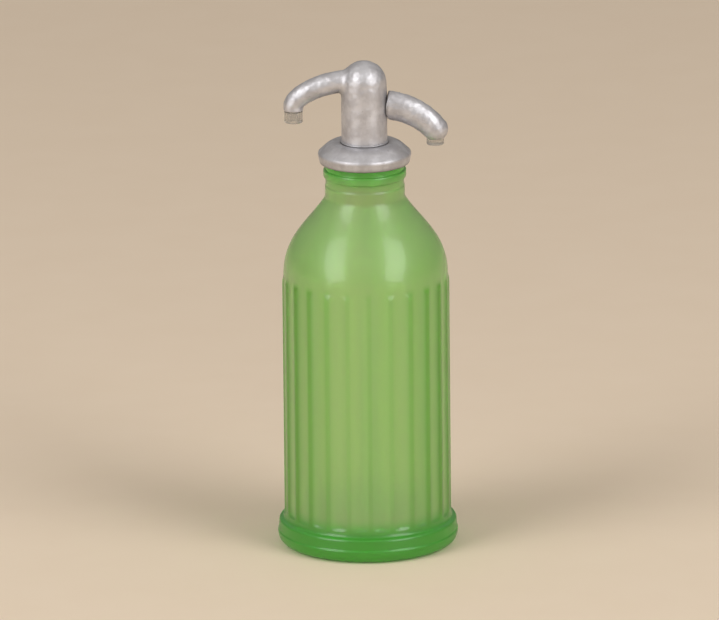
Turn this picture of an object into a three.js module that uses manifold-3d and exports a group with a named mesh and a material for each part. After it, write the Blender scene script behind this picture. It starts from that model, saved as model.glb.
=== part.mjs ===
// A soda siphon: a fluted glass bottle with a screwed-on metal head, whose lever lifts a sprung valve.
// Millimetres, +Z up. The origin is the centre of the foot ring, on the surface that the bottle stands on.
// The spout points along -X and the lever along +X.
import * as THREE from "three";
import { mergeVertices } from "three/addons/utils/BufferGeometryUtils.js";
import Module from "manifold-3d";

const wasm = await Module();
wasm.setup();

// Driving sizes of the bottle
const bodyRadius = 50;
const bodyHeight = 137;
const flareProud = 5;
const flareHeight = 26;
const footInset = 8.7;
const footRingWidth = 5;
const puntRise = 5;
const shoulderHeight = 42.5;
const neckRadius = 24;
const neckRootProud = 1.3;
const neckRootHeight = 5.5;
const neckTaperHeight = 8.5;
const neckBandHeight = 5.7;
const beadProud = 1.5;
const beadHeight = 8.9;
const finishInset = 3.1;
const finishHeight = 5.1;
const finishWall = 4.8;
const glassWall = 5.5;
const glassBase = 9;
const fluteCount = 24;
const fluteRidge = 1.5;
const fluteDepth = 1.1;
const fluteRunOut = 8;
const fluteFootMargin = 3.5;
const fluteTurn = 2;

// Driving sizes of the collar nut and the joint with the bottle
const collarOverhang = 2.5;
const collarFootInset = 0.1;
const collarArrisInset = 0.7;
const collarArrisRise = 3.3;
const collarCrownInset = 2.4;
const collarCrownDrop = 1.3;
const collarWeb = 2.2;
const gasketThickness = 1.5;
const flangeInset = 1.4;
const flangeThickness = 1.7;

// Driving sizes of the head casting
const columnRadius = 13.75;
const columnHeight = 37.3;
const spigotLength = 17;
const spigotWall = 5.3;
const chamberRoof = 0.7;
const mainBoreRadius = 5.6;
const glandShoulder = 1;
const riserRadius = 1.9;

// Driving sizes of the spout and its nozzle
const spoutReach = 42;
const spoutDrop = 16.9;
const spoutStraight = 3.2;
const spoutRise = 4.2;
const spoutRootRadius = 7.4;
const spoutTipRadius = 6.1;
const spoutBoreRadius = 2.4;
const nozzleRadius = 5.5;
const nozzleLength = 6.5;
const nozzleSpigotWall = 1.7;
const nozzleSpigotLength = 4.2;

// Driving sizes of the lever
const leverReach = 42.1;
const leverDrop = 15;
const leverRootHalfHeight = 9.4;
const leverRootHalfWidth = 6.6;
const leverTipRadius = 8;
const leverRootBelowDome = 13.7;
const leverTravelDegrees = 12;
const pivotInset = 3.35;
const pivotBelowRoot = 4.6;
const pinRadius = 1.5;
const tongueHalfWidth = 3;
const tongueHalfHeight = 3.2;
const noseOverreach = 0.7;
const noseRadius = 2.4;
const plugRadius = 5.2;
const plugHeight = 5;
const plugProud = 1.3;

// Driving sizes of the plunger, valve and spring
const stemRadius = 2.7;
const crossheadRoof = 3;
const crossheadFloor = 2.5;
const crossheadMargin = 1.6;
const windowBelowNose = 3.4;
const springWire = 0.8;
const springMargin = 1.2;
const springLength = 6.9;
const springTurns = 4;
const springSeatThickness = 0.8;
const valveHeadroom = 0.2;
const valveCupRise = 1;
const valveCupHeight = 3.6;
const valveCupLip = 1.5;
const valveCupWall = 0.8;
const valveCupOverlap = 1.3;
const valveWasherThickness = 2.2;
const valveScrewRadius = 1.3;
const valveScrewHeadRadius = 2.1;
const valveScrewHeadHeight = 1;
const valveScrewGrip = 3.4;

// Driving sizes of the gland
const glandWasherThickness = 1;
const glandPackingShare = 0.36;

// Driving sizes of the seat nut and the dip tube
const seatBoreRadius = 3.2;
const seatRimWall = 1.4;
const seatRimHeight = 2.4;
const seatNutFlange = 3;
const seatNutHexInset = 1.6;
const seatWasherThickness = 1.2;
const seatNutSkirtWall = 2.6;
const seatNutSkirtLength = 8;
const sleeveWall = 2.4;
const sleeveLength = 12.7;
const tubeRadius = 4;
const tubeWall = 1.5;
const tubeFootGap = 6;
const tubeCutDegrees = 35;
const tubeNutWall = 1.35;
const tubeNutWeb = 2.7;
const tubeNutGrip = 6;

// Clearances, one for faces that seat on each other and one for pieces that slide or screw together
const seatGap = 0.3;
const fitGap = 0.3;

// Facets on round pieces, and the longest stretch of a turned outline's curve that one facet spans
const bottleSides = 48;
const showSides = 44;
const innerSides = 20;
const boreSides = 16;
const longestFacet = 6;

// Radii that follow from the sizes
const flareRadius = bodyRadius + flareProud;
const footRadius = flareRadius - footInset;
const neckRootRadius = neckRadius + neckRootProud;
const beadRadius = neckRadius + beadProud;
const finishRadius = beadRadius - finishInset;
const mouthRadius = finishRadius - finishWall;
const collarRadius = beadRadius + collarOverhang;
const flangeRadius = finishRadius - flangeInset;
const spigotRadius = mouthRadius - fitGap;
const chamberRadius = spigotRadius - spigotWall;
const glandBoreRadius = mainBoreRadius + glandShoulder;
const riserOffset = (glandBoreRadius + columnRadius) / 2;
const nozzleSpigotRadius = spoutBoreRadius + nozzleSpigotWall;
const seatRimRadius = seatBoreRadius + seatRimWall;
const valveCupRadius = seatRimRadius + valveCupOverlap;
const springRadius = mainBoreRadius - springMargin - springWire / 2;
const sleeveRadius = tubeRadius + fitGap + sleeveWall;
const seatNutSkirtRadius = sleeveRadius + fitGap + seatNutSkirtWall;
const seatNutHexRadius = mouthRadius - seatNutHexInset;
const tubeNutHexRadius = (seatNutSkirtRadius + fitGap + tubeNutWall) / Math.cos(Math.PI / 6);

// Heights that follow from the sizes, from the bottle up to the head
const floorThickness = puntRise + glassBase;
const bodyTop = flareHeight + bodyHeight;
const shoulderTop = bodyTop + shoulderHeight;
const neckRootTop = shoulderTop + neckRootHeight;
const neckTaperTop = neckRootTop + neckTaperHeight;
const beadFoot = neckTaperTop + neckBandHeight;
const beadTop = beadFoot + beadHeight;
const bottleTop = beadTop + finishHeight;
const flangeFoot = bottleTop + seatGap + gasketThickness + seatGap;
const flangeTop = flangeFoot + flangeThickness;
const collarFoot = beadTop + seatGap;
const collarTop = flangeTop + seatGap + collarWeb;
const domeCentre = collarTop + columnHeight;
const spoutEnd = domeCentre - spoutDrop;
const leverRootHeight = domeCentre - leverRootBelowDome;
const leverTipHeight = leverRootHeight - leverDrop;

// The lever's pivot, and how far its nose lifts the plunger
const leverTravel = THREE.MathUtils.degToRad(leverTravelDegrees);
const pivotOffset = columnRadius - pivotInset;
const pivotHeight = leverRootHeight - pivotBelowRoot;
const noseArm = pivotOffset + noseOverreach;
const valveLift = noseArm * Math.sin(leverTravel);

// Heights of the plunger, the gland and the valve
const windowTop = pivotHeight + noseRadius + seatGap;
const windowFoot = pivotHeight - noseRadius - windowBelowNose;
const crossheadTop = windowTop + crossheadRoof;
const crossheadFoot = windowFoot - crossheadFloor;
const springFoot = crossheadTop + seatGap;
const springTop = springFoot + springLength;
const mainBoreTop = springTop + seatGap + springSeatThickness + seatGap;
const chamberTop = flangeTop - chamberRoof;
const glandTop = crossheadFoot - crossheadMargin;
const glandWasherTop = glandTop - seatGap;
const glandWasherFoot = glandWasherTop - glandWasherThickness;
const packingTop = glandWasherFoot - seatGap;
const packingFoot = packingTop - (packingTop - chamberTop) * glandPackingShare;
const glandNutFoot = chamberTop + seatGap;
const glandNutTop = packingFoot - seatGap;
const cupTop = chamberTop - valveHeadroom - valveLift;
const cupFoot = cupTop - valveCupHeight;
const stemFoot = cupTop + seatGap;
const washerFoot = cupFoot - valveCupRise;
const seatTop = washerFoot - seatGap;

// Heights of the seat nut and the dip tube's joint
const spigotEnd = flangeFoot - spigotLength;
const seatNutFlangeTop = spigotEnd - seatGap - seatWasherThickness - seatGap;
const seatNutFlangeFoot = seatNutFlangeTop - seatNutFlange;
const seatNutSkirtFoot = seatNutFlangeFoot - seatNutSkirtLength;
const sleeveTop = seatNutSkirtFoot + sleeveLength;

// Materials, coloured as the pieces are
const greenGlass = new THREE.MeshStandardMaterial({ color: 0x5fa83c, roughness: 0.15, metalness: 0 });
const silverCasting = new THREE.MeshStandardMaterial({ color: 0xb4b1ad, roughness: 0.4, metalness: 0.85 });
const clearPlastic = new THREE.MeshStandardMaterial({ color: 0xd5d3cc, roughness: 0.25, metalness: 0 });
const brass = new THREE.MeshStandardMaterial({ color: 0xb08d45, roughness: 0.35, metalness: 1 });
const steel = new THREE.MeshStandardMaterial({ color: 0x9a9c9e, roughness: 0.3, metalness: 1 });
const rubber = new THREE.MeshStandardMaterial({ color: 0x2b2a28, roughness: 0.8, metalness: 0 });
const fibre = new THREE.MeshStandardMaterial({ color: 0x7a3a26, roughness: 0.9, metalness: 0 });
const clearGlass = new THREE.MeshStandardMaterial({ color: 0xdfe8e2, roughness: 0.05, metalness: 0 });

// A closed three.js geometry as a solid that can be joined and cut
function solidOf(geometry) {
  const bare = geometry.index ? geometry.toNonIndexed() : geometry.clone();
  for (const name of ["normal", "uv"]) bare.deleteAttribute(name);
  const merged = mergeVertices(bare, 1e-4);
  const corners = [];
  const index = merged.index.array;
  for (let i = 0; i < index.length; i += 3) {
    const [a, b, c] = [index[i], index[i + 1], index[i + 2]];
    if (a !== b && b !== c && c !== a) corners.push(a, b, c);
  }
  const vertProperties = new Float32Array(merged.attributes.position.array);
  const triVerts = new Uint32Array(corners);
  return new wasm.Manifold(new wasm.Mesh({ numProp: 3, vertProperties, triVerts }));
}

// A named mesh of a solid
function meshOf(name, solid, material) {
  const found = solid.getMesh();
  const positions = new Float32Array(found.numVert * 3);
  for (let i = 0; i < found.numVert; i++) {
    positions.set(found.vertProperties.subarray(i * found.numProp, i * found.numProp + 3), i * 3);
  }
  const geometry = new THREE.BufferGeometry();
  geometry.setAttribute("position", new THREE.BufferAttribute(positions, 3));
  geometry.setIndex(new THREE.BufferAttribute(new Uint32Array(found.triVerts), 1));
  geometry.computeVertexNormals();
  const mesh = new THREE.Mesh(geometry, material);
  mesh.name = name;
  return mesh;
}

// A solid turned about the Z axis from a closed outline of [radius, height] points, taken anticlockwise
function turned(outline, sides = innerSides, phase = 0) {
  const points = outline.map(([radius, height]) => new THREE.Vector2(radius, height));
  points.push(points[0].clone());
  return solidOf(new THREE.LatheGeometry(points, sides, phase).rotateX(Math.PI / 2));
}

// A ring or, with no inner radius, a disc between two heights
function ring(outer, inner, low, high, sides = innerSides) {
  return turned([[inner, low], [outer, low], [outer, high], [inner, high]], sides);
}

// A hexagonal prism between two heights
function hexagon(radius, low, high) {
  return ring(radius, 0, low, high, 6);
}

// A box from its lowest to its highest corner
function block(low, high) {
  const size = high.map((value, i) => value - low[i]);
  const middle = high.map((value, i) => (value + low[i]) / 2);
  return solidOf(new THREE.BoxGeometry(...size).translate(...middle));
}

// A cylinder along Y through a point of the XZ plane
function crossCylinder(radius, x, z, halfLength, sides = boreSides) {
  return solidOf(new THREE.CylinderGeometry(radius, radius, 2 * halfLength, sides).translate(x, 0, z));
}

// The points of a path: a straight stretch gives its ends, and a curve one point for each facet
function outlineOf(path, facet = longestFacet, fewest = 2) {
  const outline = [];
  for (const curve of path.curves) {
    const spans = Math.max(fewest, Math.round(curve.getLength() / facet));
    const divisions = curve.isLineCurve ? 1 : spans;
    const points = curve.getPoints(divisions).map((point) => [point.x, point.y]);
    outline.push(...points.slice(outline.length > 0 ? 1 : 0));
  }
  return outline;
}

// A curve in the XZ plane from four [x, z] control points
function planeCurve(controls) {
  return new THREE.CubicBezierCurve3(...controls.map(([x, z]) => new THREE.Vector3(x, 0, z)));
}

// A solid lofted along a curve of the XZ plane, through oval sections. sectionAt gives the half height and the
// half width along Y at a share of the curve. roundEnd is the length of a dome on the far end.
function lofted(curve, sectionAt, { from = 0, to = 1, steps = 20, sides = 28, roundEnd = 0 }) {
  const rings = [];
  const addRing = (centre, tangent, halfHeight, halfWidth) => {
    const across = new THREE.Vector3(-tangent.z, 0, tangent.x);
    const points = [];
    for (let i = 0; i < sides; i++) {
      const angle = (2 * Math.PI * i) / sides;
      const point = centre.clone().addScaledVector(across, halfHeight * Math.cos(angle));
      point.y += halfWidth * Math.sin(angle);
      points.push(point);
    }
    rings.push(points);
  };
  for (let i = 0; i <= steps; i++) {
    const share = from + ((to - from) * i) / steps;
    addRing(curve.getPoint(share), curve.getTangent(share), ...sectionAt(share));
  }
  const endCentre = curve.getPoint(to);
  const endTangent = curve.getTangent(to);
  const [endHeight, endWidth] = sectionAt(to);
  const domeSteps = roundEnd > 0 ? 7 : 0;
  for (let i = 1; i < domeSteps; i++) {
    const angle = (Math.PI / 2) * (i / domeSteps);
    const centre = endCentre.clone().addScaledVector(endTangent, roundEnd * Math.sin(angle));
    addRing(centre, endTangent, endHeight * Math.cos(angle), endWidth * Math.cos(angle));
  }
  const tip = endCentre.clone().addScaledVector(endTangent, roundEnd);
  const corners = [];
  const face = (a, b, c) => corners.push(...a, ...b, ...c);
  for (let i = 0; i + 1 < rings.length; i++) {
    for (let j = 0; j < sides; j++) {
      const k = (j + 1) % sides;
      face(rings[i][j], rings[i + 1][j], rings[i][k]);
      face(rings[i][k], rings[i + 1][j], rings[i + 1][k]);
    }
  }
  const start = curve.getPoint(from);
  const last = rings[rings.length - 1];
  for (let j = 0; j < sides; j++) {
    const k = (j + 1) % sides;
    face(start, rings[0][j], rings[0][k]);
    face(tip, last[k], last[j]);
  }
  const geometry = new THREE.BufferGeometry();
  geometry.setAttribute("position", new THREE.Float32BufferAttribute(corners, 3));
  return solidOf(geometry);
}

// The outside of the glass: foot ring, flared base, straight body, shoulder, neck, bead and screw finish
function bottleOutside() {
  const path = new THREE.Path();
  const flareSwell = flareHeight * 0.22;
  path.moveTo(0, puntRise);
  const puntRadius = footRadius - footRingWidth;
  path.quadraticCurveTo(puntRadius * 0.6, puntRise, puntRadius, 0);
  path.lineTo(footRadius, 0);
  path.bezierCurveTo(
    (footRadius + flareRadius) / 2, 0, flareRadius, flareSwell * 0.3, flareRadius, flareSwell,
  );
  path.bezierCurveTo(
    flareRadius, flareHeight * 0.42, bodyRadius, flareHeight * 0.62, bodyRadius, flareHeight,
  );
  path.lineTo(bodyRadius, bodyTop);
  path.bezierCurveTo(
    bodyRadius, bodyTop + shoulderHeight * 0.42,
    neckRootRadius + (bodyRadius - neckRootRadius) * 0.63, bodyTop + shoulderHeight * 0.72,
    neckRootRadius + (bodyRadius - neckRootRadius) * 0.11, shoulderTop,
  );
  path.quadraticCurveTo(neckRootRadius, shoulderTop + neckRootHeight * 0.4, neckRootRadius, neckRootTop);
  path.quadraticCurveTo(neckRadius, neckRootTop + neckTaperHeight * 0.35, neckRadius, neckTaperTop);
  path.lineTo(neckRadius, beadFoot);
  const beadRound = beadRadius - neckRadius;
  path.quadraticCurveTo(beadRadius, beadFoot, beadRadius, beadFoot + beadRound);
  path.lineTo(beadRadius, beadTop - beadRound / 2);
  path.quadraticCurveTo(beadRadius, beadTop, beadRadius - beadRound / 2, beadTop);
  path.lineTo(finishRadius, beadTop);
  path.lineTo(finishRadius, bottleTop - beadRound / 2);
  path.lineTo(finishRadius - beadRound / 2, bottleTop);
  path.lineTo(0, bottleTop);
  return turned(outlineOf(path), bottleSides);
}

// The inside of the glass, open at the mouth
function bottleInside() {
  const innerRadius = bodyRadius - glassWall;
  const cornerRise = glassWall * 2;
  const path = new THREE.Path();
  path.moveTo(0, floorThickness);
  path.lineTo(innerRadius - cornerRise, floorThickness);
  path.quadraticCurveTo(innerRadius, floorThickness, innerRadius, floorThickness + cornerRise);
  path.lineTo(innerRadius, bodyTop);
  path.bezierCurveTo(
    innerRadius, bodyTop + shoulderHeight * 0.38,
    mouthRadius + (innerRadius - mouthRadius) * 0.57, bodyTop + shoulderHeight * 0.7,
    mouthRadius, shoulderTop + neckRootHeight * 0.5,
  );
  path.lineTo(mouthRadius, bottleTop + 1);
  path.lineTo(0, bottleTop + 1);
  return turned(outlineOf(path, 2 * longestFacet, 3), bottleSides / 2);
}

// One flute's cutter: a tall spindle with short domed ends, laid against the side of the body
function fluteCutter() {
  const fluteWidth = (2 * Math.PI * bodyRadius) / fluteCount - fluteRidge;
  const cutterRadius = (fluteWidth * fluteWidth) / (8 * fluteDepth) + fluteDepth / 2;
  const low = flareHeight + fluteFootMargin - fluteRunOut / 2;
  const high = bodyTop + fluteRunOut / 2;
  const path = new THREE.Path();
  path.moveTo(0, low - fluteRunOut);
  path.absellipse(0, low, cutterRadius, fluteRunOut, -Math.PI / 2, 0, false);
  path.lineTo(cutterRadius, high);
  path.absellipse(0, high, cutterRadius, fluteRunOut, 0, Math.PI / 2, false);
  const sides = 40;
  const cutter = turned(outlineOf(path, 0.6 * longestFacet), sides, Math.PI / sides);
  return cutter.translate([bodyRadius - fluteDepth + cutterRadius, 0, 0]);
}

function bottle() {
  const cutter = fluteCutter();
  const cutters = [];
  for (let i = 0; i < fluteCount; i++) {
    cutters.push(cutter.rotate([0, 0, fluteTurn + ((i + 0.5) * 360) / fluteCount]));
  }
  return bottleOutside().subtract(wasm.Manifold.union(cutters)).subtract(bottleInside());
}

// The nut that holds the head on the bottle: a thick rounded disc with a sharp waist line
function collarNut() {
  const path = new THREE.Path();
  const arris = collarFoot + collarArrisRise;
  const arrisRadius = collarRadius - collarArrisInset;
  const crown = collarTop - collarCrownDrop;
  const inside = flangeTop + seatGap;
  path.moveTo(finishRadius + fitGap, collarFoot);
  path.lineTo(beadRadius - collarFootInset, collarFoot);
  path.quadraticCurveTo(arrisRadius, collarFoot, arrisRadius, arris);
  path.quadraticCurveTo(collarRadius, arris, collarRadius, (arris + crown) / 2);
  path.quadraticCurveTo(collarRadius, crown, collarRadius - collarCrownInset, crown);
  path.lineTo(columnRadius + fitGap, collarTop);
  path.lineTo(columnRadius + fitGap, inside);
  path.lineTo(finishRadius + fitGap, inside);
  return turned(outlineOf(path), showSides);
}

// The gasket between the rim of the glass and the head's flange
function neckGasket() {
  const low = bottleTop + seatGap;
  return ring(flangeRadius, mouthRadius + fitGap, low, low + gasketThickness);
}

// The spout's centre line bends over from the dome and ends in a short straight drop
const spoutBendEnd = spoutEnd + spoutStraight;
const spoutBend = planeCurve([
  [0, domeCentre + 0.6],
  [-spoutReach * 0.48, domeCentre + spoutRise],
  [-spoutReach, spoutBendEnd + (domeCentre - spoutBendEnd) * 0.45],
  [-spoutReach, spoutBendEnd],
]);
const spoutTail = new THREE.LineCurve3(
  new THREE.Vector3(-spoutReach, 0, spoutBendEnd),
  new THREE.Vector3(-spoutReach, 0, spoutEnd),
);
const spoutCurve = new THREE.CurvePath();
spoutCurve.add(spoutBend);
spoutCurve.add(spoutTail);

function spoutOutside() {
  const sectionAt = (share) => {
    const radius = THREE.MathUtils.lerp(spoutRootRadius, spoutTipRadius, share);
    return [radius, radius];
  };
  return lofted(spoutCurve, sectionAt, { steps: 15, sides: 22 });
}

// The water's way through the head: chamber, gland bore, plunger bore, riser and spout bore
function headWaterways() {
  const chamber = ring(chamberRadius, 0, spigotEnd - 1, chamberTop);
  const glandBore = ring(glandBoreRadius, 0, chamberTop - 1, glandTop);
  const plungerBore = ring(mainBoreRadius, 0, glandTop - 1, mainBoreTop);
  const riser = ring(riserRadius, 0, chamberTop - 1, domeCentre, boreSides);
  const boreStart = (riserOffset - riserRadius) / spoutCurve.getLength();
  const boreSection = () => [spoutBoreRadius, spoutBoreRadius];
  const spoutBore = lofted(spoutCurve, boreSection, { from: boreStart, steps: 12, sides: boreSides });
  const nozzleSocket = ring(nozzleSpigotRadius + fitGap, 0, spoutEnd - 1, spoutEnd + nozzleSpigotLength);
  return wasm.Manifold.union([
    chamber,
    glandBore,
    plungerBore,
    riser.translate([-riserOffset, 0, 0]),
    spoutBore,
    nozzleSocket.translate([-spoutReach, 0, 0]),
  ]);
}

function headBody() {
  const path = new THREE.Path();
  const bevel = 1;
  path.moveTo(0, spigotEnd);
  path.lineTo(spigotRadius - bevel, spigotEnd);
  path.lineTo(spigotRadius, spigotEnd + bevel);
  path.lineTo(spigotRadius, flangeFoot);
  path.lineTo(flangeRadius, flangeFoot);
  path.lineTo(flangeRadius, flangeTop);
  path.lineTo(columnRadius, flangeTop);
  path.lineTo(columnRadius, domeCentre);
  path.absarc(0, domeCentre, columnRadius, 0, Math.PI / 2, false);
  const outside = turned(outlineOf(path, 0.6 * longestFacet), showSides).add(spoutOutside());
  const slotTop = pivotHeight + tongueHalfHeight + valveLift / 2 + fitGap;
  const slotFoot = pivotHeight - tongueHalfHeight - valveLift / 2 - fitGap / 2;
  const slotHalfWidth = tongueHalfWidth + fitGap;
  const slot = block([0, -slotHalfWidth, slotFoot], [columnRadius + 2, slotHalfWidth, slotTop]);
  const pinHole = crossCylinder(pinRadius + fitGap, pivotOffset, pivotHeight, columnRadius);
  return outside.subtract(headWaterways()).subtract(slot).subtract(pinHole);
}

// The clear tip of the spout: a short tube with a spigot that seats in the spout's end
function spoutNozzle() {
  const top = spoutEnd - seatGap;
  const spigotTop = spoutEnd + nozzleSpigotLength - seatGap;
  const edge = 0.5;
  return turned([
    [spoutBoreRadius, top - nozzleLength],
    [nozzleRadius - edge, top - nozzleLength],
    [nozzleRadius, top - nozzleLength + edge],
    [nozzleRadius, top],
    [nozzleSpigotRadius, top],
    [nozzleSpigotRadius, spigotTop],
    [spoutBoreRadius, spigotTop],
  ]).translate([-spoutReach, 0, 0]);
}

// The lever's centre line runs out level from the column and bends down to the tip
const leverCurve = planeCurve([
  [columnRadius * 0.6, leverRootHeight + 0.5],
  [leverReach * 0.52, leverRootHeight],
  [leverReach * 0.81, leverRootHeight - leverDrop * 0.34],
  [leverReach, leverTipHeight],
]);

// The lever's tongue: it runs through the slot, turns on the pin and lifts the plunger with a round nose
function leverTongue() {
  const noseX = pivotOffset - noseArm;
  const stepX = mainBoreRadius + 1;
  const outerX = columnRadius + 3;
  const shape = new THREE.Shape();
  shape.moveTo(noseX, pivotHeight - noseRadius);
  shape.lineTo(stepX, pivotHeight - noseRadius);
  shape.lineTo(stepX + 1, pivotHeight - tongueHalfHeight);
  shape.lineTo(outerX, pivotHeight - tongueHalfHeight);
  shape.lineTo(outerX, pivotHeight + tongueHalfHeight);
  shape.lineTo(stepX + 1, pivotHeight + tongueHalfHeight);
  shape.lineTo(stepX, pivotHeight + noseRadius);
  shape.lineTo(noseX, pivotHeight + noseRadius);
  shape.absarc(noseX, pivotHeight, noseRadius, Math.PI / 2, (3 * Math.PI) / 2, false);
  const options = { depth: 2 * tongueHalfWidth, bevelEnabled: false, curveSegments: 10 };
  const geometry = new THREE.ExtrudeGeometry(shape, options).rotateX(Math.PI / 2);
  return solidOf(geometry.translate(0, tongueHalfWidth, 0));
}

// The room that the column takes up as seen from the lever, over the whole of the lever's travel
function columnSweep() {
  const column = ring(columnRadius + fitGap, 0, flangeTop, domeCentre + columnRadius, showSides);
  const steps = 6;
  const places = [];
  for (let i = 0; i <= steps; i++) {
    const turn = (leverTravelDegrees * i) / steps;
    const atPivot = column.translate([-pivotOffset, 0, -pivotHeight]).rotate([0, -turn, 0]);
    places.push(atPivot.translate([pivotOffset, 0, pivotHeight]));
  }
  return wasm.Manifold.union(places);
}

const plugX = leverReach;
const plugFoot = leverTipHeight - leverTipRadius - plugProud;

function lever() {
  const sectionAt = (share) => [
    THREE.MathUtils.lerp(leverRootHalfHeight, leverTipRadius, share),
    THREE.MathUtils.lerp(leverRootHalfWidth, leverTipRadius, share),
  ];
  const arm = lofted(leverCurve, sectionAt, { steps: 12, sides: 24, roundEnd: leverTipRadius });
  const plugSocket = ring(plugRadius + fitGap, 0, plugFoot - 1, plugFoot + plugHeight + seatGap);
  const pinHole = crossCylinder(pinRadius + fitGap, pivotOffset, pivotHeight, tongueHalfWidth + 1);
  const grip = arm.subtract(columnSweep()).subtract(plugSocket.translate([plugX, 0, 0]));
  return grip.add(leverTongue()).subtract(pinHole);
}

function leverPlug() {
  const edge = 0.4;
  return turned([
    [0, plugFoot],
    [plugRadius - edge, plugFoot],
    [plugRadius, plugFoot + edge],
    [plugRadius, plugFoot + plugHeight],
    [0, plugFoot + plugHeight],
  ]).translate([plugX, 0, 0]);
}

// The lever's pin, filed flush with the column
function leverPin() {
  const column = ring(columnRadius, 0, flangeTop, domeCentre, showSides);
  return crossCylinder(pinRadius, pivotOffset, pivotHeight, columnRadius).intersect(column);
}

// The plunger: a crosshead with a window for the lever's nose, a stem and a stub that centres the spring
function plunger() {
  const crossheadRadius = mainBoreRadius - fitGap;
  const stubRadius = springRadius - springWire / 2 - 2 * fitGap;
  const stubTop = crossheadTop + springWire * 3;
  const holeTop = stemFoot + valveScrewGrip + seatGap;
  const screwHole = ring(valveScrewRadius + fitGap, 0, stemFoot - 1, holeTop, boreSides);
  const window = block(
    [pivotOffset - noseArm - noseRadius - fitGap, -tongueHalfWidth - fitGap, windowFoot],
    [crossheadRadius + 1, tongueHalfWidth + fitGap, windowTop],
  );
  return turned([
    [0, stemFoot],
    [stemRadius, stemFoot],
    [stemRadius, crossheadFoot],
    [crossheadRadius, crossheadFoot],
    [crossheadRadius, crossheadTop],
    [stubRadius, crossheadTop],
    [stubRadius, stubTop],
    [0, stubTop],
  ]).subtract(screwHole).subtract(window);
}

// The cup on the plunger's end that backs the valve washer
function valveCup() {
  const hole = valveScrewRadius + fitGap;
  return turned([
    [hole, cupFoot + valveCupLip],
    [valveCupRadius - valveCupWall, cupFoot + valveCupLip],
    [valveCupRadius - valveCupWall, cupFoot],
    [valveCupRadius, cupFoot],
    [valveCupRadius, cupTop],
    [hole, cupTop],
  ]);
}

function valveWasher() {
  const radius = valveCupRadius - valveCupWall - fitGap;
  return ring(radius, valveScrewRadius + fitGap, washerFoot, washerFoot + valveWasherThickness);
}

function valveScrew() {
  const headTop = washerFoot - seatGap;
  const headFoot = headTop - valveScrewHeadHeight;
  const slotHalfWidth = 0.25;
  const slot = block(
    [-valveScrewHeadRadius, -slotHalfWidth, headFoot - 1],
    [valveScrewHeadRadius, slotHalfWidth, headFoot + valveScrewHeadHeight / 2],
  );
  return turned([
    [0, headFoot],
    [valveScrewHeadRadius, headFoot],
    [valveScrewHeadRadius, headTop],
    [valveScrewRadius, headTop],
    [valveScrewRadius, stemFoot + valveScrewGrip],
    [0, stemFoot + valveScrewGrip],
  ], boreSides).subtract(slot);
}

// The spring over the plunger: one unbroken round wire, with a flat half turn at each end
function plungerSpring() {
  class Helix extends THREE.Curve {
    getPoint(share, target = new THREE.Vector3()) {
      const turns = springTurns + 1;
      const angle = 2 * Math.PI * turns * share;
      const climb = THREE.MathUtils.clamp((share * turns - 0.5) / springTurns, 0, 1);
      const low = springFoot + springWire / 2;
      const high = springTop - springWire / 2;
      const height = THREE.MathUtils.lerp(low, high, climb);
      return target.set(springRadius * Math.cos(angle), springRadius * Math.sin(angle), height);
    }
  }
  const wireSides = 5;
  const corners = [];
  for (let i = 0; i < wireSides; i++) {
    const angle = (2 * Math.PI * i) / wireSides;
    corners.push(new THREE.Vector2(Math.cos(angle), Math.sin(angle)).multiplyScalar(springWire / 2));
  }
  const section = new THREE.Shape(corners);
  const options = { extrudePath: new Helix(), steps: 10 * (springTurns + 1), bevelEnabled: false };
  return solidOf(new THREE.ExtrudeGeometry(section, options));
}

function springSeat() {
  const foot = springTop + seatGap;
  return ring(mainBoreRadius - fitGap, springRadius / 2, foot, foot + springSeatThickness);
}

function glandWasher() {
  return ring(glandBoreRadius - fitGap, stemRadius + fitGap, glandWasherFoot, glandWasherTop);
}

function glandPacking() {
  return ring(glandBoreRadius - fitGap, stemRadius + fitGap, packingFoot, packingTop);
}

// The nut that squeezes the packing, with a slot across its foot for a driver
function glandNut() {
  const nut = ring(glandBoreRadius - fitGap, stemRadius + fitGap, glandNutFoot, glandNutTop);
  const slotHalfWidth = 0.8;
  const slotTop = glandNutFoot + (glandNutTop - glandNutFoot) / 4;
  const slot = block(
    [-glandBoreRadius, -slotHalfWidth, glandNutFoot - 1],
    [glandBoreRadius, slotHalfWidth, slotTop],
  );
  return nut.subtract(slot);
}

// The nut in the head's spigot: the valve seat on top, and a socket for the dip tube's sleeve below
function seatNut() {
  const shankRadius = chamberRadius - fitGap;
  const shankTop = seatTop - seatRimHeight;
  const hex = hexagon(seatNutHexRadius, seatNutFlangeFoot, seatNutFlangeTop);
  const body = turned([
    [0, seatNutSkirtFoot],
    [seatNutSkirtRadius, seatNutSkirtFoot],
    [seatNutSkirtRadius, seatNutFlangeFoot + seatNutFlange / 2],
    [shankRadius, seatNutFlangeFoot + seatNutFlange / 2],
    [shankRadius, shankTop],
    [seatRimRadius + seatRimHeight / 2, shankTop],
    [seatRimRadius, seatTop],
    [0, seatTop],
  ]);
  const socket = ring(sleeveRadius + fitGap, 0, seatNutSkirtFoot - 1, sleeveTop + seatGap);
  const bore = ring(seatBoreRadius, 0, seatNutSkirtFoot, seatTop + 1, boreSides);
  return body.add(hex).subtract(socket).subtract(bore);
}

function seatWasher() {
  const high = spigotEnd - seatGap;
  const flats = seatNutHexRadius * Math.cos(Math.PI / 6);
  return ring(flats, chamberRadius, high - seatWasherThickness, high);
}

function tubeSleeve() {
  return ring(sleeveRadius, tubeRadius + fitGap, seatNutSkirtFoot, sleeveTop);
}

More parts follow.
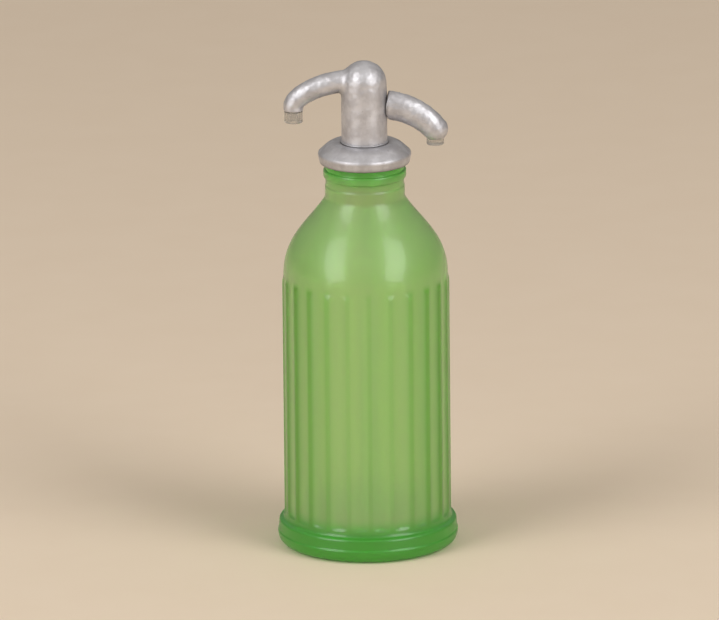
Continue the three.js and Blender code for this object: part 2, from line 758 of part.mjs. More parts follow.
// The cap nut that squeezes the sleeve on to the dip tube
function tubeNut() {
  const webTop = seatNutSkirtFoot - seatGap;
  const webFoot = webTop - tubeNutWeb;
  const cap = hexagon(tubeNutHexRadius, webFoot, webTop + tubeNutGrip);
  const thread = ring(seatNutSkirtRadius + fitGap, 0, webTop, webTop + tubeNutGrip + 1);
  const hole = ring(tubeRadius + fitGap, 0, webFoot - 1, webTop + 1, boreSides);
  return cap.subtract(thread).subtract(hole);
}

// The dip tube, cut on a slant at its foot so that it can't seal itself on the glass
function dipTube() {
  const foot = floorThickness + tubeFootGap;
  const tube = ring(tubeRadius, tubeRadius - tubeWall, foot, sleeveTop - seatGap);
  const room = 4 * tubeRadius;
  const cutter = block([-room, -room, -room], [room, room, 0]).rotate([0, tubeCutDegrees, 0]);
  const rise = tubeRadius * Math.tan(THREE.MathUtils.degToRad(tubeCutDegrees));
  return tube.subtract(cutter.translate([0, 0, foot + rise]));
}

const siphon = new THREE.Group();
siphon.add(
  meshOf("bottle", bottle(), greenGlass),
  meshOf("collar_nut", collarNut(), silverCasting),
  meshOf("neck_gasket", neckGasket(), rubber),
  meshOf("head_body", headBody(), silverCasting),
  meshOf("spout_nozzle", spoutNozzle(), clearPlastic),
  meshOf("lever_pin", leverPin(), steel),
  meshOf("spring_seat", springSeat(), brass),
  meshOf("gland_washer", glandWasher(), brass),
  meshOf("gland_packing", glandPacking(), rubber),
  meshOf("gland_nut", glandNut(), brass),
  meshOf("seat_nut", seatNut(), brass),
  meshOf("seat_washer", seatWasher(), fibre),
  meshOf("tube_sleeve", tubeSleeve(), rubber),
  meshOf("tube_nut", tubeNut(), brass),
  meshOf("dip_tube", dipTube(), clearGlass),
);

const leverGroup = new THREE.Group();
leverGroup.add(
  meshOf("lever", lever(), silverCasting),
  meshOf("lever_plug", leverPlug(), clearPlastic),
);

const plungerGroup = new THREE.Group();
plungerGroup.add(
  meshOf("plunger", plunger(), brass),
  meshOf("valve_cup", valveCup(), brass),
  meshOf("valve_washer", valveWasher(), rubber),
  meshOf("valve_screw", valveScrew(), steel),
  meshOf("plunger_spring", plungerSpring(), steel),
);

siphon.add(leverGroup, plungerGroup);

export default siphon;
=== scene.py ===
"""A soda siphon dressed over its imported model: fluted green bottle, silver head and sprung side lever."""

import logging
import math
from dataclasses import dataclass
from enum import Enum
from typing import Callable, Iterable, Sequence

import bmesh
import bpy
import numpy as np
from mathutils import Matrix, Vector, noise


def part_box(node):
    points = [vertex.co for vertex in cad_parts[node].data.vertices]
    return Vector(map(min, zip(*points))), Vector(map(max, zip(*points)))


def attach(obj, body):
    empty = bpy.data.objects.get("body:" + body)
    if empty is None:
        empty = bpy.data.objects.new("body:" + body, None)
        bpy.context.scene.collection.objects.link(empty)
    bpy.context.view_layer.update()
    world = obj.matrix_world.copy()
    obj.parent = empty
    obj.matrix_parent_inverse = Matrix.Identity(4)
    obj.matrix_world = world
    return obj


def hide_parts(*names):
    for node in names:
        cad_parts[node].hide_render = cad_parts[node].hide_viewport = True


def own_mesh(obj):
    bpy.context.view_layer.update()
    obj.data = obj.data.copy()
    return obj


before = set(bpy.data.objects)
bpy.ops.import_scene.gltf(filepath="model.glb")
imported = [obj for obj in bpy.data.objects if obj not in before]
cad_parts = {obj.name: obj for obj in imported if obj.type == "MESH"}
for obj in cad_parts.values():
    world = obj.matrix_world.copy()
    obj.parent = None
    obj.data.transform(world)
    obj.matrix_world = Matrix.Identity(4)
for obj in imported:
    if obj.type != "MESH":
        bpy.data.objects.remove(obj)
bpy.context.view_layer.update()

LOG = logging.getLogger("siphon")
MM = 0.001

# The marks on a mesh that its finish reads: painted shade in corners, and painted shade along the flute
# ridges
CREASE_SHADE = "crease_shade"
RIDGE = "ridge"
# The width and depth in millimetres of the hollows that hand finishing leaves in a casting
HOLLOWS = ((7.0, 0.3), (2.6, 0.34))
# A distance in millimetres beyond every surface, for points that a form doesn't reach
FAR = 1e3

Piece = bpy.types.Object
Material = bpy.types.Material
Node = bpy.types.Node
Tree = bpy.types.NodeTree
Array = np.ndarray
Point = tuple[float, float]
Field = Callable[[Array], Array]


class Body(Enum):
    """The moving bodies of the frame."""

    SIPHON = "siphon"
    LEVER = "lever"
    PLUNGER = "plunger"


class Slot(Enum):
    """The record's material slots."""

    GLASS = "bottle_glass"
    SILVER = "silver_casting"
    CLEAR = "clear_plastic"
    RUBBER = "rubber_black"
    STEEL = "steel_bright"
    BRASS = "brass_turned"
    FIBRE = "fibre_red"
    TUBE = "clear_glass"


def linear(colour: str) -> tuple[float, float, float, float]:
    """Turns an sRGB hex colour into the linear values that a shader takes.

    Args:
        colour: The colour as #rrggbb.

    Returns:
        Linear red, green, blue and an alpha of 1.
    """
    shares = [int(colour[i : i + 2], 16) / 255 for i in (1, 3, 5)]
    return (*(s / 12.92 if s <= 0.04045 else ((s + 0.055) / 1.055) ** 2.4 for s in shares), 1.0)


def per_metre(size: float) -> float:
    """The texture scale at which a pattern repeats about every size millimetres."""
    return 1 / (size * MM)


def add_node(tree: Tree, kind: str, inputs: dict | None = None, **settings: object) -> Node:
    """Adds a shader node, sets its properties, and fills or links its inputs.

    Args:
        tree: The node tree that gets the node.
        kind: The node's Blender type name.
        inputs: What goes into each input, by its name or index: a value, an output socket, or a node, of
            which the first output in use is linked.
        settings: Values for the node's own properties.

    Returns:
        The new node.
    """
    node = tree.nodes.new(kind)
    for name, value in settings.items():
        setattr(node, name, value)
    for key, value in (inputs or {}).items():
        if isinstance(value, Node):
            value = next(socket for socket in value.outputs if socket.enabled)
        if isinstance(value, bpy.types.NodeSocket):
            tree.links.new(value, node.inputs[key])
        else:
            node.inputs[key].default_value = value
    return node


def new_material(name: str) -> tuple[Material, Tree, bpy.types.NodeSocket]:
    """Starts a material with an empty node tree.

    Args:
        name: The real material and how its surface was made.

    Returns:
        The material, its tree, and coordinates in metres that stay on the piece.
    """
    material = bpy.data.materials.new(name)
    material.use_nodes = True
    tree = material.node_tree
    tree.nodes.clear()
    place = add_node(tree, "ShaderNodeTexCoord").outputs["Object"]
    return material, tree, place


def show(tree: Tree, shader: Node, volume: Node | None = None) -> None:
    """Links a shader, and a volume where there is one, to the material's output.

    Args:
        tree: The material's node tree.
        shader: The shader of its surface.
        volume: The shader of what it is filled with, or None.
    """
    inputs = {"Surface": shader}
    if volume is not None:
        inputs["Volume"] = volume
    add_node(tree, "ShaderNodeOutputMaterial", inputs)


@dataclass(frozen=True)
class PressedGlass:
    """Soda-lime bottle glass with a milky haze, pressed in a fluted mould and fire polished.

    The haze scatters most of the light that enters, so the body glows evenly and shows nothing sharp behind
    it, and the thick foot is deeper and greener. The neck is painted deeper green towards the collar, painted
    shade under it, and the flute ridges are painted darker, painted shade strongest below the spout and the
    lever. The outside is smooth and gives soft clear reflections.
    """

    pale: str = "#e8f6b8"
    fresh: str = "#e0f6b1"
    # deep is the thick foot's colour, and also painted shade on the neck under the collar
    deep: str = "#76f254"
    # The colour of the painted shade on the flute ridges
    ridge: str = "#97d656"
    tint: str = "#8cf25c"
    haze: float = 0.22
    blur: float = 0.34
    density: float = 98.0
    foot_top: float = 27.0
    foot_deep: float = 14.0
    neck_foot: float = 217.0
    lip_foot: float = 237.0
    lip_depth: float = 1.0

    def material(self) -> Material:
        """Builds the glass: colour by height and streak, a blurred body and a clear polished skin.

        Returns:
            The material.
        """
        material, tree, place = new_material("pressed green glass, fire polished")
        height = add_node(tree, "ShaderNodeSeparateXYZ", {0: place}).outputs["Z"]
        foot = add_node(
            tree, "ShaderNodeMapRange",
            {"Value": height, "From Min": self.foot_top * MM, "From Max": self.foot_deep * MM},
            interpolation_type="SMOOTHSTEP",
        )
        # The neck is painted deeper green towards the collar: painted shade under it
        lip = add_node(
            tree,
            "ShaderNodeMapRange",
            {
                "Value": height, "From Min": self.neck_foot * MM, "From Max": self.lip_foot * MM,
                "To Max": self.lip_depth,
            },
            interpolation_type="SMOOTHSTEP",
        )
        # The thick foot's depth and the painted shade on the neck, together
        thick = add_node(tree, "ShaderNodeMath", {0: foot, 1: lip}, operation="MAXIMUM")
        # Melt streaks are about 14 mm wide and run up the wall, ten times as long as they are wide
        drawn = add_node(tree, "ShaderNodeMapping", {"Vector": place, "Scale": (1, 1, 0.1)})
        streaks = add_node(
            tree, "ShaderNodeTexNoise",
            {"Vector": drawn, "Scale": per_metre(28), "Detail": 2.0, "Roughness": 0.5},
        )
        streak_share = add_node(
            tree, "ShaderNodeMapRange", {"Value": streaks, "From Min": 0.35, "From Max": 0.68},
            interpolation_type="SMOOTHSTEP",
        )
        wall = add_node(
            tree, "ShaderNodeMix", {0: streak_share, 6: linear(self.pale), 7: linear(self.fresh)},
            data_type="RGBA",
        )
        # The ridge mark is painted shade along the flute ridges, strongest below the spout and the lever
        proud = add_node(tree, "ShaderNodeAttribute", attribute_name=RIDGE)
        ribbed = add_node(
            tree, "ShaderNodeMix", {0: proud.outputs["Fac"], 6: wall, 7: linear(self.ridge)},
            data_type="RGBA",
        )
        colour = add_node(
            tree, "ShaderNodeMix", {0: thick, 6: ribbed, 7: linear(self.deep)}, data_type="RGBA",
        )
        # Ripples left by the mould are about 9 mm across and a few hundredths of a millimetre deep
        ripple = add_node(
            tree, "ShaderNodeTexNoise", {"Vector": place, "Scale": per_metre(18), "Detail": 0.5}
        )
        bump = add_node(tree, "ShaderNodeBump", {"Height": ripple, "Strength": 0.25, "Distance": 0.35 * MM})
        roughness = add_node(
            tree, "ShaderNodeMapRange",
            {"Value": ripple, "To Min": self.blur - 0.04, "To Max": self.blur + 0.04},
        )
        glass = add_node(
            tree,
            "ShaderNodeBsdfPrincipled",
            {
                "Base Color": colour, "Roughness": roughness, "IOR": 1.5,
                "Transmission Weight": 1 - self.haze, "Specular IOR Level": 0.25, "Coat Weight": 0.3,
                "Coat Roughness": 0.07, "Coat IOR": 1.5, "Normal": bump, "Coat Normal": bump,
            },
        )
        body = add_node(
            tree, "ShaderNodeVolumeAbsorption", {"Color": linear(self.tint), "Density": self.density}
        )
        show(tree, glass, body)
        return material


@dataclass(frozen=True)
class SilverCasting:
    """Cast metal with a silver finish laid on by brush, satin and slightly lumpy.

    The flakes in the finish spread each reflection into a soft glow with a fine sparkle, brush marks run
    along the piece, worn specks show dull grey, and corners where pieces meet are darkened with painted
    shade.
    """

    bright: str = "#c7c6ca"
    dull: str = "#b5b3b6"
    # A dark grey used for the worn specks and for painted shade in corners
    shade_and_wear: str = "#57524f"
    roughness: float = 0.46
    metallic: float = 0.74

    def material(self) -> Material:
        """Builds the silver: flake mottle, brush marks, worn specks and painted shade in the corners.

        Returns:
            The material.
        """
        material, tree, place = new_material("cast metal, brushed silver finish")
        # Clouds where the finish is thinner are about 4 mm across
        clouds = add_node(
            tree, "ShaderNodeTexNoise", {"Vector": place, "Scale": per_metre(8), "Detail": 4.0}
        )
        # Flakes are far finer than a pixel, so they are drawn 0.9 mm across
        flakes = add_node(
            tree, "ShaderNodeTexNoise",
            {"Vector": place, "Scale": per_metre(1.8), "Detail": 2.0, "Roughness": 0.7},
        )
        # Brush marks are 1 mm wide and six times as long, upright on the column
        brushed = add_node(tree, "ShaderNodeMapping", {"Vector": place, "Scale": (1, 1, 0.16)})
        marks = add_node(
            tree, "ShaderNodeTexNoise",
            {"Vector": brushed, "Scale": per_metre(2.4), "Detail": 3.0, "Roughness": 0.6},
        )
        tone = add_node(
            tree, "ShaderNodeMapRange", {"Value": clouds, "From Min": 0.38, "From Max": 0.62},
            interpolation_type="SMOOTHSTEP",
        )
        finish = add_node(
            tree, "ShaderNodeMix", {0: tone, 6: linear(self.bright), 7: linear(self.dull)},
            data_type="RGBA",
        )
        worn = add_node(
            tree, "ShaderNodeMapRange", {"Value": flakes, "From Min": 0.7, "From Max": 0.8, "To Max": 0.45},
        )
        # The crease mark is painted shade in corners and gaps, mixed in with the same dark grey as the worn
        # specks
        held = add_node(tree, "ShaderNodeAttribute", attribute_name=CREASE_SHADE)
        shade_and_wear_share = add_node(tree, "ShaderNodeMath", {0: held.outputs["Fac"], 1: worn}, operation="MAXIMUM")
        colour = add_node(
            tree, "ShaderNodeMix", {0: shade_and_wear_share, 6: finish, 7: linear(self.shade_and_wear)}, data_type="RGBA",
        )
        rough = add_node(
            tree, "ShaderNodeMapRange",
            {"Value": clouds, "To Min": self.roughness - 0.1, "To Max": self.roughness + 0.12},
        )
        grain = add_node(tree, "ShaderNodeMix", {0: 0.45, 2: marks, 3: flakes}, data_type="FLOAT")
        lumps = add_node(tree, "ShaderNodeBump", {"Height": clouds, "Strength": 0.8, "Distance": 0.6 * MM})
        bump = add_node(
            tree, "ShaderNodeBump",
            {"Height": grain, "Strength": 0.45, "Distance": 0.12 * MM, "Normal": lumps},
        )
        metal = add_node(
            tree, "ShaderNodeBsdfPrincipled",
            {"Base Color": colour, "Metallic": self.metallic, "Roughness": rough, "Normal": bump},
        )
        show(tree, metal)
        return material


@dataclass(frozen=True)
class ClearPlastic:
    """Clear polystyrene, moulded, and slightly milky with age.

    Light runs through most of it, so it takes the colour of what is behind it, with a dull grey body of its
    own that sets it off from the floor.
    """

    colour: str = "#d8d3cb"
    flow_tone: str = "#c4beb4"
    roughness: float = 0.16
    unevenness: float = 0.02
    clearness: float = 0.7

    def material(self) -> Material:
        """Builds the plastic: a pale milky body with flow marks, hazed a little in patches.

        Returns:
            The material.
        """
        material, tree, place = new_material("clear polystyrene, moulded")
        # Flow marks from the mould are about 3 mm across
        flow = add_node(tree, "ShaderNodeTexNoise", {"Vector": place, "Scale": per_metre(6), "Detail": 2.0})
        haze = add_node(
            tree,
            "ShaderNodeMapRange",
            {
                "Value": flow, "To Min": self.roughness - self.unevenness,
                "To Max": self.roughness + self.unevenness,
            },
        )
        tone = add_node(
            tree, "ShaderNodeMix", {0: flow, 6: linear(self.colour), 7: linear(self.flow_tone)},
            data_type="RGBA",
        )
        bump = add_node(tree, "ShaderNodeBump", {"Height": flow, "Strength": 0.1, "Distance": 0.1 * MM})
        plastic = add_node(
            tree,
            "ShaderNodeBsdfPrincipled",
            {
                "Base Color": tone, "Roughness": haze, "IOR": 1.5, "Transmission Weight": self.clearness,
                "Normal": bump,
            },
        )
        show(tree, plastic)
        return material


@dataclass(frozen=True)
class TurnedMetal:
    """A metal turned on a lathe, with fine rings from the tool and patches that handling has dulled."""

    name: str
    fresh: str
    dulled: str
    roughness: float
    ring_pitch: float = 0.8

    def material(self) -> Material:
        """Builds the metal: tool rings along the height and dulled patches.

        Returns:
            The material.
        """
        material, tree, place = new_material(self.name)
        # Tool rings are about 0.1 mm apart, and are drawn coarser so that they show
        rings = add_node(
            tree,
            "ShaderNodeTexWave",
            {
                "Vector": place, "Scale": per_metre(self.ring_pitch) / (2 * math.pi), "Distortion": 0.6,
                "Detail": 1.0,
            },
            bands_direction="Z",
        )
        # Dulled patches are about 5 mm across
        patches = add_node(
            tree, "ShaderNodeTexNoise", {"Vector": place, "Scale": per_metre(10), "Detail": 4.0}
        )
        spread = add_node(tree, "ShaderNodeMapRange", {"Value": patches, "From Min": 0.35, "From Max": 0.7})
        colour = add_node(
            tree, "ShaderNodeMix", {0: spread, 6: linear(self.fresh), 7: linear(self.dulled)},
            data_type="RGBA",
        )
        rough = add_node(
            tree, "ShaderNodeMapRange",
            {"Value": patches, "To Min": self.roughness - 0.08, "To Max": self.roughness + 0.15},
        )
        bump = add_node(
            tree, "ShaderNodeBump",
            {"Height": rings.outputs["Fac"], "Strength": 0.25, "Distance": 0.04 * MM},
        )
        metal = add_node(
            tree, "ShaderNodeBsdfPrincipled",
            {"Base Color": colour, "Metallic": 1.0, "Roughness": rough, "Normal": bump},
        )
        show(tree, metal)
        return material


@dataclass(frozen=True)
class MattMoulding:
    """A matt moulded or pressed material, such as rubber or vulcanised fibre, with a fine grain."""

    name: str
    colour: str
    bloom: str
    roughness: float
    grain: float = 1.2

    def material(self) -> Material:
        """Builds the moulding: a fine grain and a paler bloom in patches.

        Returns:
            The material.
        """
        material, tree, place = new_material(self.name)
        # The grain is about 0.1 mm, and is drawn coarser so that it shows
        grain = add_node(
            tree, "ShaderNodeTexNoise",
            {"Vector": place, "Scale": per_metre(self.grain), "Detail": 5.0, "Roughness": 0.65},
        )
        # The bloom lies in patches of about 4 mm
        patches = add_node(
            tree, "ShaderNodeTexNoise", {"Vector": place, "Scale": per_metre(8), "Detail": 2.0}
        )
        share = add_node(tree, "ShaderNodeMath", {0: grain, 1: patches}, operation="MULTIPLY")
        colour = add_node(
            tree, "ShaderNodeMix", {0: share, 6: linear(self.colour), 7: linear(self.bloom)},
            data_type="RGBA",
        )
        bump = add_node(tree, "ShaderNodeBump", {"Height": grain, "Strength": 0.4, "Distance": 0.08 * MM})
        rough = add_node(
            tree, "ShaderNodeMapRange",
            {"Value": patches, "To Min": self.roughness - 0.08, "To Max": self.roughness + 0.08},
        )
        surface = add_node(
            tree, "ShaderNodeBsdfPrincipled", {"Base Color": colour, "Roughness": rough, "Normal": bump},
        )
        show(tree, surface)
        return material


@dataclass(frozen=True)
class DrawnGlass:
    """Clear glass drawn into a tube, with a faint green cast and fine lines along it."""

    colour: str = "#dfeee6"

    def material(self) -> Material:
        """Builds the tube's glass: clear, with draw lines along its length.

        Returns:
            The material.
        """
        material, tree, place = new_material("clear glass, drawn tube")
        # Draw lines are about 1 mm apart and run the whole length
        along = add_node(tree, "ShaderNodeMapping", {"Vector": place, "Scale": (1, 1, 0.02)})
        lines = add_node(
            tree, "ShaderNodeTexNoise", {"Vector": along, "Scale": per_metre(2), "Detail": 1.0}
        )
        bump = add_node(tree, "ShaderNodeBump", {"Height": lines, "Strength": 0.3, "Distance": 0.05 * MM})
        rough = add_node(tree, "ShaderNodeMapRange", {"Value": lines, "To Min": 0.02, "To Max": 0.08})
        glass = add_node(
            tree,
            "ShaderNodeBsdfPrincipled",
            {
                "Base Color": linear(self.colour), "Roughness": rough, "IOR": 1.5,
                "Transmission Weight": 1.0, "Normal": bump,
            },
        )
        show(tree, glass)
        return material


def mixed(a: float, b: float, share: float) -> float:
    """The value at a share of the way from a to b."""
    return a + (b - a) * share


def ramp(values: Array, start: float, end: float) -> Array:
    """How far values are on the way from start to end, held between 0 and 1."""
    return np.clip((values - start) / (end - start), 0, 1)


def fading(gap: Array, reach: float) -> Array:
    """A share that is 1 up to a gap of 0 and fades beyond it, to a third within reach."""
    return np.exp(-np.maximum(gap, 0) / reach)


def around(sides: int) -> Array:
    """Even angles all round, from 0."""
    return np.linspace(0, 2 * math.pi, sides, endpoint=False)


class Outline:
    """An outline of radius and height in millimetres, drawn stretch by stretch like a turner's template."""

    def __init__(self, start: Point, step: float = 1.0) -> None:
        """Starts the outline.

        Args:
            start: The first point.
            step: The spacing of points along curves.
        """
        self.points: list[Point] = [start]
        self.step = step

    def line(self, end: Point, step: float | None = None) -> "Outline":
        """Adds a straight stretch, with points inside it where a step is given.

        Args:
            end: Where the stretch ends.
            step: The spacing of the points inside it, or None.

        Returns:
            The outline.
        """
        start = self.points[-1]
        count = max(1, round(math.dist(start, end) / step)) if step else 1
        for i in range(1, count + 1):
            self.points.append((mixed(start[0], end[0], i / count), mixed(start[1], end[1], i / count)))
        return self

    def curve(self, *controls: Point) -> "Outline":
        """Adds a Bezier curve through its control points, the last of which is its end.

        Args:
            controls: The control points after the outline's last point.

        Returns:
            The outline.
        """
        hull = [self.points[-1], *controls]
        length = sum(math.dist(a, b) for a, b in zip(hull, hull[1:]))
        count = max(4, math.ceil(length / self.step))
        self.points.extend(bezier(hull, i / count) for i in range(1, count + 1))
        return self

    def rounded(self, corner: Point, end: Point, radius: float) -> "Outline":
        """Adds a line to a corner that is rounded off, and on towards the end.

        Args:
            corner: The corner.
            end: Where the line ends.
            radius: How far from the corner the rounding starts and ends.

        Returns:
            The outline.
        """
        start = self.points[-1]
        before = towards(corner, start, radius)
        after = towards(corner, end, radius)
        return self.line(before).curve(corner, after).line(end)


def bezier(controls: Sequence[Sequence[float]], share: float) -> tuple[float, ...]:
    """The point at a share of a Bezier curve of any degree.

    Args:
        controls: The curve's control points, from its start to its end.
        share: How far along the curve the point lies.

    Returns:
        The point.
    """
    level = [tuple(point) for point in controls]
    while len(level) > 1:
        level = [tuple(mixed(a, b, share) for a, b in zip(p, q)) for p, q in zip(level, level[1:])]
    return level[0]


def towards(start: Point, end: Point, distance: float) -> Point:
    """The point at a distance from start towards end."""
    share = distance / max(math.dist(start, end), 1e-9)
    return (mixed(start[0], end[0], share), mixed(start[1], end[1], share))


def headings(places: Array) -> Array:
    """The direction of a line at each of its places, as rows of length 1."""
    steps = np.gradient(places, axis=0)
    return steps / np.linalg.norm(steps, axis=1)[:, None]


def skin(name: str, rings: Sequence[Array], loop: bool = False) -> Piece:
    """Makes a closed mesh over a row of rings, each joined to the next.

    Args:
        name: The piece's name.
        rings: Points in millimetres for each ring. A ring of one point is a pole.
        loop: True if the last ring joins the first.

    Returns:
        The new object, smooth shaded.
    """
    points = np.vstack(rings) * MM
    starts = np.cumsum([0] + [len(ring) for ring in rings])
    faces = []
    pairs = list(zip(range(len(rings) - 1), range(1, len(rings))))
    if loop:
        pairs.append((len(rings) - 1, 0))
    for low, high in pairs:
        a, b = starts[low], starts[high]
        sides = max(len(rings[low]), len(rings[high]))
        for i in range(sides):
            j = (i + 1) % sides
            if len(rings[low]) == 1:
                faces.append((a, b + j, b + i))
            elif len(rings[high]) == 1:
                faces.append((a + i, a + j, b))
            else:
                faces.append((a + i, a + j, b + j, b + i))
    mesh = bpy.data.meshes.new(name)
    mesh.from_pydata([tuple(p) for p in points], [], [tuple(int(v) for v in f) for f in faces])
    shape = bmesh.new()
    shape.from_mesh(mesh)
    bmesh.ops.recalc_face_normals(shape, faces=shape.faces)
    shape.to_mesh(mesh)
    shape.free()
    piece = bpy.data.objects.new(name, mesh)
    bpy.context.scene.collection.objects.link(piece)
    return piece


def circle(radius: float | Array, height: float, angles: Array, centre: Point = (0, 0)) -> Array:
    """A level ring of points, or one point where the radius is nothing.

    Args:
        radius: The radius in millimetres, one for all points or one for each.
        height: The ring's height.
        angles: The angle of each point.
        centre: The ring's middle in X and Y.

    Returns:
        The points, one in each row.
    """
    if np.max(radius) < 1e-6:
        return np.array([[centre[0], centre[1], height]])
    x, y = centre[0] + radius * np.cos(angles), centre[1] + radius * np.sin(angles)
    return np.stack([x, y, np.full_like(angles, height)], axis=1)


def across(place: Point, way: Point, tall: float, wide: float, sides: int) -> Array:
    """An oval ring that stands across a way in the upright plane of spout and lever.

    Args:
        place: Its middle in X and Z.
        way: The way's direction in X and Z.
        tall: Half its height in millimetres.
        wide: Half its width.
        sides: How many points it has.

    Returns:
        The points, one in each row.
    """
    up, out = tall * np.cos(around(sides)), wide * np.sin(around(sides))
    return np.stack([place[0] - way[1] * up, out, place[1] + way[0] * up], axis=1)


def capped(name: str, rings: Sequence[Array]) -> Piece:
    """A closed mesh over a row of rings, with a pole in the middle of each end ring."""
    first, last = rings[0].mean(axis=0), rings[-1].mean(axis=0)
    return skin(name, [first[None, :], *rings, last[None, :]])


def turned(name: str, outline: Sequence[Point], sides: int = 128, centre: Point = (0, 0)) -> Piece:
    """Turns an outline about an upright axis.

    Args:
        name: The piece's name.
        outline: Radius and height in millimetres, from pole to pole or all round a ring's section.
        sides: How many facets go round.
        centre: Where the axis stands.

    Returns:
        The turned object.
    """
    angles = around(sides)
    rings = [circle(radius, height, angles, centre) for radius, height in outline]
    return skin(name, rings, loop=len(rings[0]) > 1 and len(rings[-1]) > 1)


def block(name: str, low: Sequence[float], high: Sequence[float]) -> Piece:
    """A box between two corners in millimetres, for cutting.

    Args:
        name: The piece's name.
        low: The lowest corner.
        high: The highest corner.

    Returns:
        The box.
    """
    corners = [(low[0], low[1]), (high[0], low[1]), (high[0], high[1]), (low[0], high[1])]
    rings = [np.array([(x, y, z) for x, y in corners]) for z in (low[2], high[2])]
    mesh_piece = skin(name, rings)
    shape = bmesh.new()
    shape.from_mesh(mesh_piece.data)
    bmesh.ops.holes_fill(shape, edges=shape.edges)
    bmesh.ops.recalc_face_normals(shape, faces=shape.faces)
    shape.to_mesh(mesh_piece.data)
    shape.free()
    return mesh_piece


def lying(name: str, radius: float, x: float, z: float, half: float, sides: int = 48) -> Piece:
    """A rod along Y, for a pin or its hole.

    Args:
        name: The piece's name.
        radius: The rod's radius in millimetres.
        x: Its axis in X.
        z: The height of its axis.
        half: Half its length.
        sides: How many facets go round.

    Returns:
        The rod.
    """
    rod = turned(name, [(0, -half), (radius, -half), (radius, half), (0, half)], sides)
    rod.data.transform(Matrix.Rotation(math.pi / 2, 4, "X"))
    rod.data.transform(Matrix.Translation((x * MM, 0, z * MM)))
    return rod


def settle(piece: Piece) -> None:
    """Applies a piece's modifiers to its mesh.

    Args:
        piece: The piece.
    """
    bpy.context.view_layer.update()
    shape = piece.evaluated_get(bpy.context.evaluated_depsgraph_get())
    mesh = bpy.data.meshes.new_from_object(shape)
    piece.modifiers.clear()
    piece.data = mesh


def joined(piece: Piece, others: Iterable[Piece], how: str) -> Piece:
    """Joins other solids to a piece or cuts them from it, and removes them.

    Args:
        piece: The solid that changes.
        others: The solids that are added or cut away.
        how: UNION or DIFFERENCE.

    Returns:
        The piece.
    """
    for other in others:
        modifier = piece.modifiers.new(how.lower(), "BOOLEAN")
        modifier.operation = how
        modifier.object = other
        modifier.solver = "EXACT"
        settle(piece)
        bpy.data.objects.remove(other)
    return piece


def recast(piece: Piece, voxel: float) -> None:
    """Gives a joined solid one even skin, with cells of the given size in millimetres.

    Args:
        piece: The solid that changes.
        voxel: The size of a cell.
    """
    modifier = piece.modifiers.new("skin", "REMESH")
    modifier.mode = "VOXEL"
    modifier.voxel_size = voxel * MM
    settle(piece)


def blended(a: Array, b: Array, fillet: float) -> Array:
    """The union of two distance fields with a fillet where they meet."""
    reach = np.maximum(fillet - np.abs(a - b), 0) / fillet
    return np.minimum(a, b) - reach**2 * fillet / 4


def vertices(piece: Piece) -> Array:
    """Reads the places of a piece's vertices.

    Args:
        piece: The piece.

    Returns:
        Points in millimetres, one in each row.
    """
    points = np.empty(len(piece.data.vertices) * 3)
    piece.data.vertices.foreach_get("co", points)
    return points.reshape(-1, 3) / MM


def drawn_onto(piece: Piece, field: Field, rounds: int = 4) -> None:
    """Moves each vertex of a piece onto the surface where a distance field is zero.

    Args:
        piece: The piece, whose mesh already lies near that surface.
        field: Signed distance in millimetres for points in millimetres.
        rounds: How many steps each vertex takes.
    """
    points = vertices(piece)
    probe, flattest, longest = 0.02, 0.25, 0.6
    for _ in range(rounds):
        here = field(points)
        slope = np.stack([(field(points + probe * axis) - here) / probe for axis in np.eye(3)], axis=1)
        steep = np.maximum((slope**2).sum(axis=1), flattest)
        step = np.clip(here / steep, -longest, longest)
        points = points - slope * step[:, None]
    piece.data.vertices.foreach_set("co", (points * MM).ravel())
    piece.data.update()


def unevenness(points: Array) -> Array:
    """How far a hand-finished casting dips below its true form at each point, in millimetres.

    Args:
        points: Points in millimetres, one in each row.

    Returns:
        The depth at each point.
    """
    return sum(
        depth * np.array([0.5 + 0.5 * noise.noise(Vector(p / width)) for p in points])
        for width, depth in HOLLOWS
    )


def marked(piece: Piece, name: str, share: Field) -> None:
    """Stores a share from 0 to 1 on each vertex, worked out from its place in millimetres.

    Args:
        piece: The piece that is marked.
        name: The mark's name.
        share: Works out the share at points in millimetres.
    """
    held = piece.data.attributes.new(name, "FLOAT", "POINT")
    held.data.foreach_set("value", np.clip(share(vertices(piece)), 0, 1).astype(np.float32))


def placed(piece: Piece, body: Body, finish: Material, node: str, sharp: float = 38) -> Piece:
    """Shades a piece smooth, gives it its finish, and lets it stand for a node and move with its body.

    Args:
        piece: The piece.
        body: The body that it moves with.
        finish: Its material.
        node: The node that it stands for.
        sharp: The angle in degrees from which an edge stays sharp.

    Returns:
        The piece.
    """
    piece.data.shade_smooth()
    piece.data.set_sharp_from_angle(angle=math.radians(sharp))
    piece.data.materials.clear()
    piece.data.materials.append(finish)
    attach(piece, body.value)
    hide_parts(node)
    LOG.info("%s stands for %s, with %d faces", piece.name, node, len(piece.data.polygons))
    return piece


def millimetres(node: str) -> tuple[Vector, Vector]:
    """The lowest and highest corner of a node of the frame, in millimetres."""
    low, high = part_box(node)
    return low / MM, high / MM


